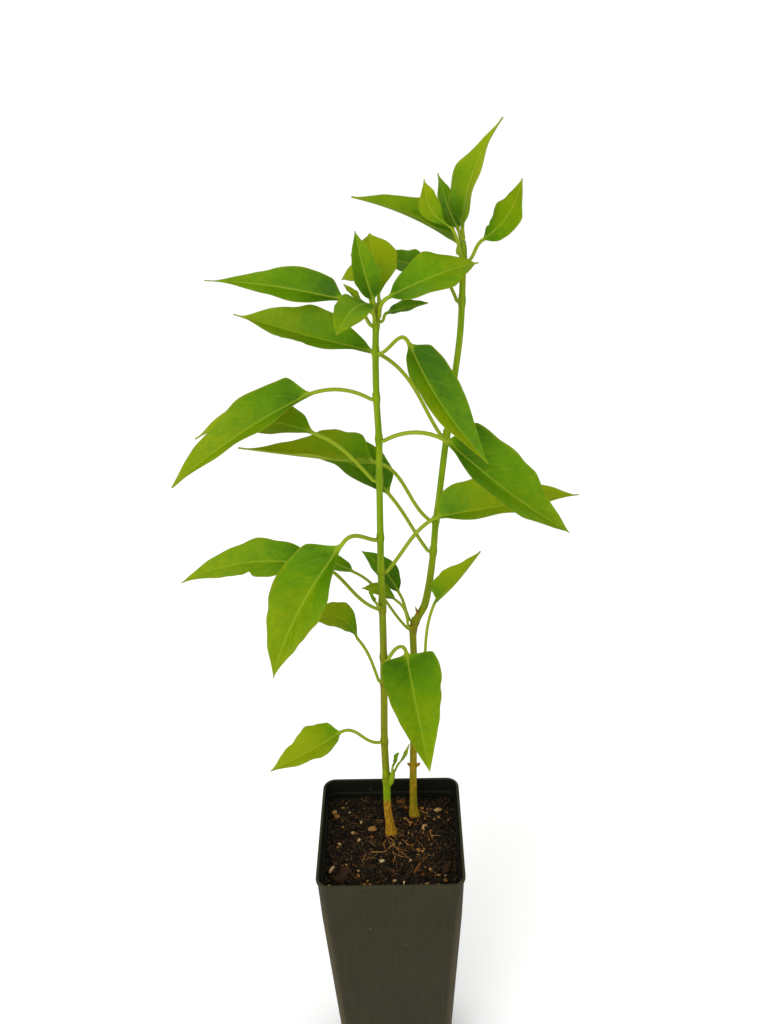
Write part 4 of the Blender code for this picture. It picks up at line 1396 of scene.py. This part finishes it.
HAIR_LENGTHS = (1.0, 4.0)
HAIR_RADII = (0.06, 0.11)


def lay_root(bm, spots, radius, tone_value, lift=0.15):
    """Thin tube through points on the mix, smoothed by sampling it as curves between them."""
    places = [Vector((x, y, soil_surface(x, y) + lift + radius)) for x, y in spots]
    line = []
    for index in range(len(places) - 1):
        before, after = places[max(index - 1, 0)], places[min(index + 2, len(places) - 1)]
        here, there = places[index], places[index + 1]
        leave, arrive = here + (there - before) / 6, there - (after - here) / 6
        line += interpolate_bezier(here, leave, arrive, there, 6)[:-1]
    line.append(places[-1])
    radii = [radius * (1.0 - 0.6 * index / len(line)) for index in range(len(line))]
    layer = bm.verts.layers.float["tone"]
    for ring in grow_tube(bm, line, radii, 6):
        for vert in ring:
            vert[layer] = tone_value


draw = random.Random(8)
bm = layered_mesh("tone")
for spots in ROOTLETS:
    lay_root(bm, spots, ROOT_RADIUS, draw.uniform(0.56, 0.70))
for _ in range(HAIR_COUNT):
    x, y = draw.gauss(1.0, HAIR_SPREAD), draw.gauss(1.0, HAIR_SPREAD)
    heading, length = draw.uniform(0.0, 2.0 * math.pi), draw.uniform(*HAIR_LENGTHS)
    bow = draw.uniform(-0.8, 0.8)
    tone_value = draw.uniform(0.25, 0.75)
    if max(abs(x), abs(y)) > HAIR_LIMIT:
        continue
    along = Vector((math.cos(heading), math.sin(heading)))
    aside = Vector((-along.y, along.x)) * bow
    start = Vector((x, y))
    spots = (start, start + along * length / 2 + aside, start + along * length)
    lay_root(bm, [tuple(spot) for spot in spots], draw.uniform(*HAIR_RADII), tone_value)
hand_over("rootlets", bm, (chip_bark,), crease=80.0)
print(len(ROOTLETS), "rootlets and the hairs around them")

# %% [markdown]
# ## Floor, light and camera
# The plant stands on a plain pale floor under soft light. A white world lights it from all round,
# and one large lamp beside the camera gives the leaves their form. The camera has the calibrated
# place and turn of the photograph, at the same field of view.

# %% Floor
FLOOR_WHITE = (0.93, 0.93, 0.92, 1.0)
FLOOR_RADIUS_M = 6.0

floor_finish, tree, output = new_material("studio_floor")
shader = put(tree, "BsdfPrincipled", {"Base Color": FLOOR_WHITE, "Roughness": 0.8})
tree.links.new(shader.outputs[0], output.inputs["Surface"])
bm = bmesh.new()
bmesh.ops.create_circle(bm, cap_ends=True, segments=96, radius=FLOOR_RADIUS_M)
mesh = bpy.data.meshes.new("studio_floor")
bm.to_mesh(mesh)
bm.free()
mesh.materials.append(floor_finish)
floor = bpy.data.objects.new("studio_floor", mesh)
bpy.context.scene.collection.objects.link(floor)
print("floor of", FLOOR_RADIUS_M, "m radius")

# %% Light
WORLD_STRENGTH = 1.08
LAMP_PLACE = Vector((-0.5, -1.0, 0.85))
LAMP_TARGET = Vector((0.0, 0.0, 0.22))
LAMP_SIZE_M = 0.9
LAMP_WATTS = 8.0

world = bpy.data.worlds.new("studio")
bpy.context.scene.world = world
world.use_nodes = True
background = world.node_tree.nodes["Background"]
background.inputs["Color"].default_value = (1.0, 1.0, 1.0, 1.0)
background.inputs["Strength"].default_value = WORLD_STRENGTH
bpy.context.scene.view_settings.view_transform = "Standard"
lamp = bpy.data.lights.new("front_lamp", "AREA")
lamp.shape = "DISK"
lamp.size = LAMP_SIZE_M
lamp.energy = LAMP_WATTS
holder = bpy.data.objects.new("front_lamp", lamp)
holder.location = LAMP_PLACE
holder.rotation_euler = (LAMP_TARGET - LAMP_PLACE).to_track_quat("-Z", "Y").to_euler()
bpy.context.scene.collection.objects.link(holder)
print("world", WORLD_STRENGTH, "and a lamp of", LAMP_WATTS, "W")

# %% Camera
LENS_MM = 35.16
CAMERA_PLACE = (0.00795, -0.2527, 0.38728)
PITCH, YAW, ROLL = (math.radians(angle) for angle in (29.01, -1.47, -1.96))

forward = Vector((math.sin(YAW) * math.cos(PITCH), math.cos(YAW) * math.cos(PITCH), -math.sin(PITCH)))
level = Vector((math.cos(YAW), -math.sin(YAW), 0.0))
above = level.cross(forward)
right = math.cos(ROLL) * level + math.sin(ROLL) * above
upward = -math.sin(ROLL) * level + math.cos(ROLL) * above
lens = bpy.data.cameras.new("photo_camera")
lens.sensor_fit = "VERTICAL"
lens.sensor_height = 36.0
lens.lens = LENS_MM
lens.clip_start = 0.01
camera = bpy.data.objects.new("photo_camera", lens)
turned = Matrix((right, upward, -forward)).transposed().to_4x4()
camera.matrix_world = Matrix.Translation(CAMERA_PLACE) @ turned
bpy.context.scene.collection.objects.link(camera)
bpy.context.scene.camera = camera
print("camera at", CAMERA_PLACE, "m with a lens of", LENS_MM, "mm")
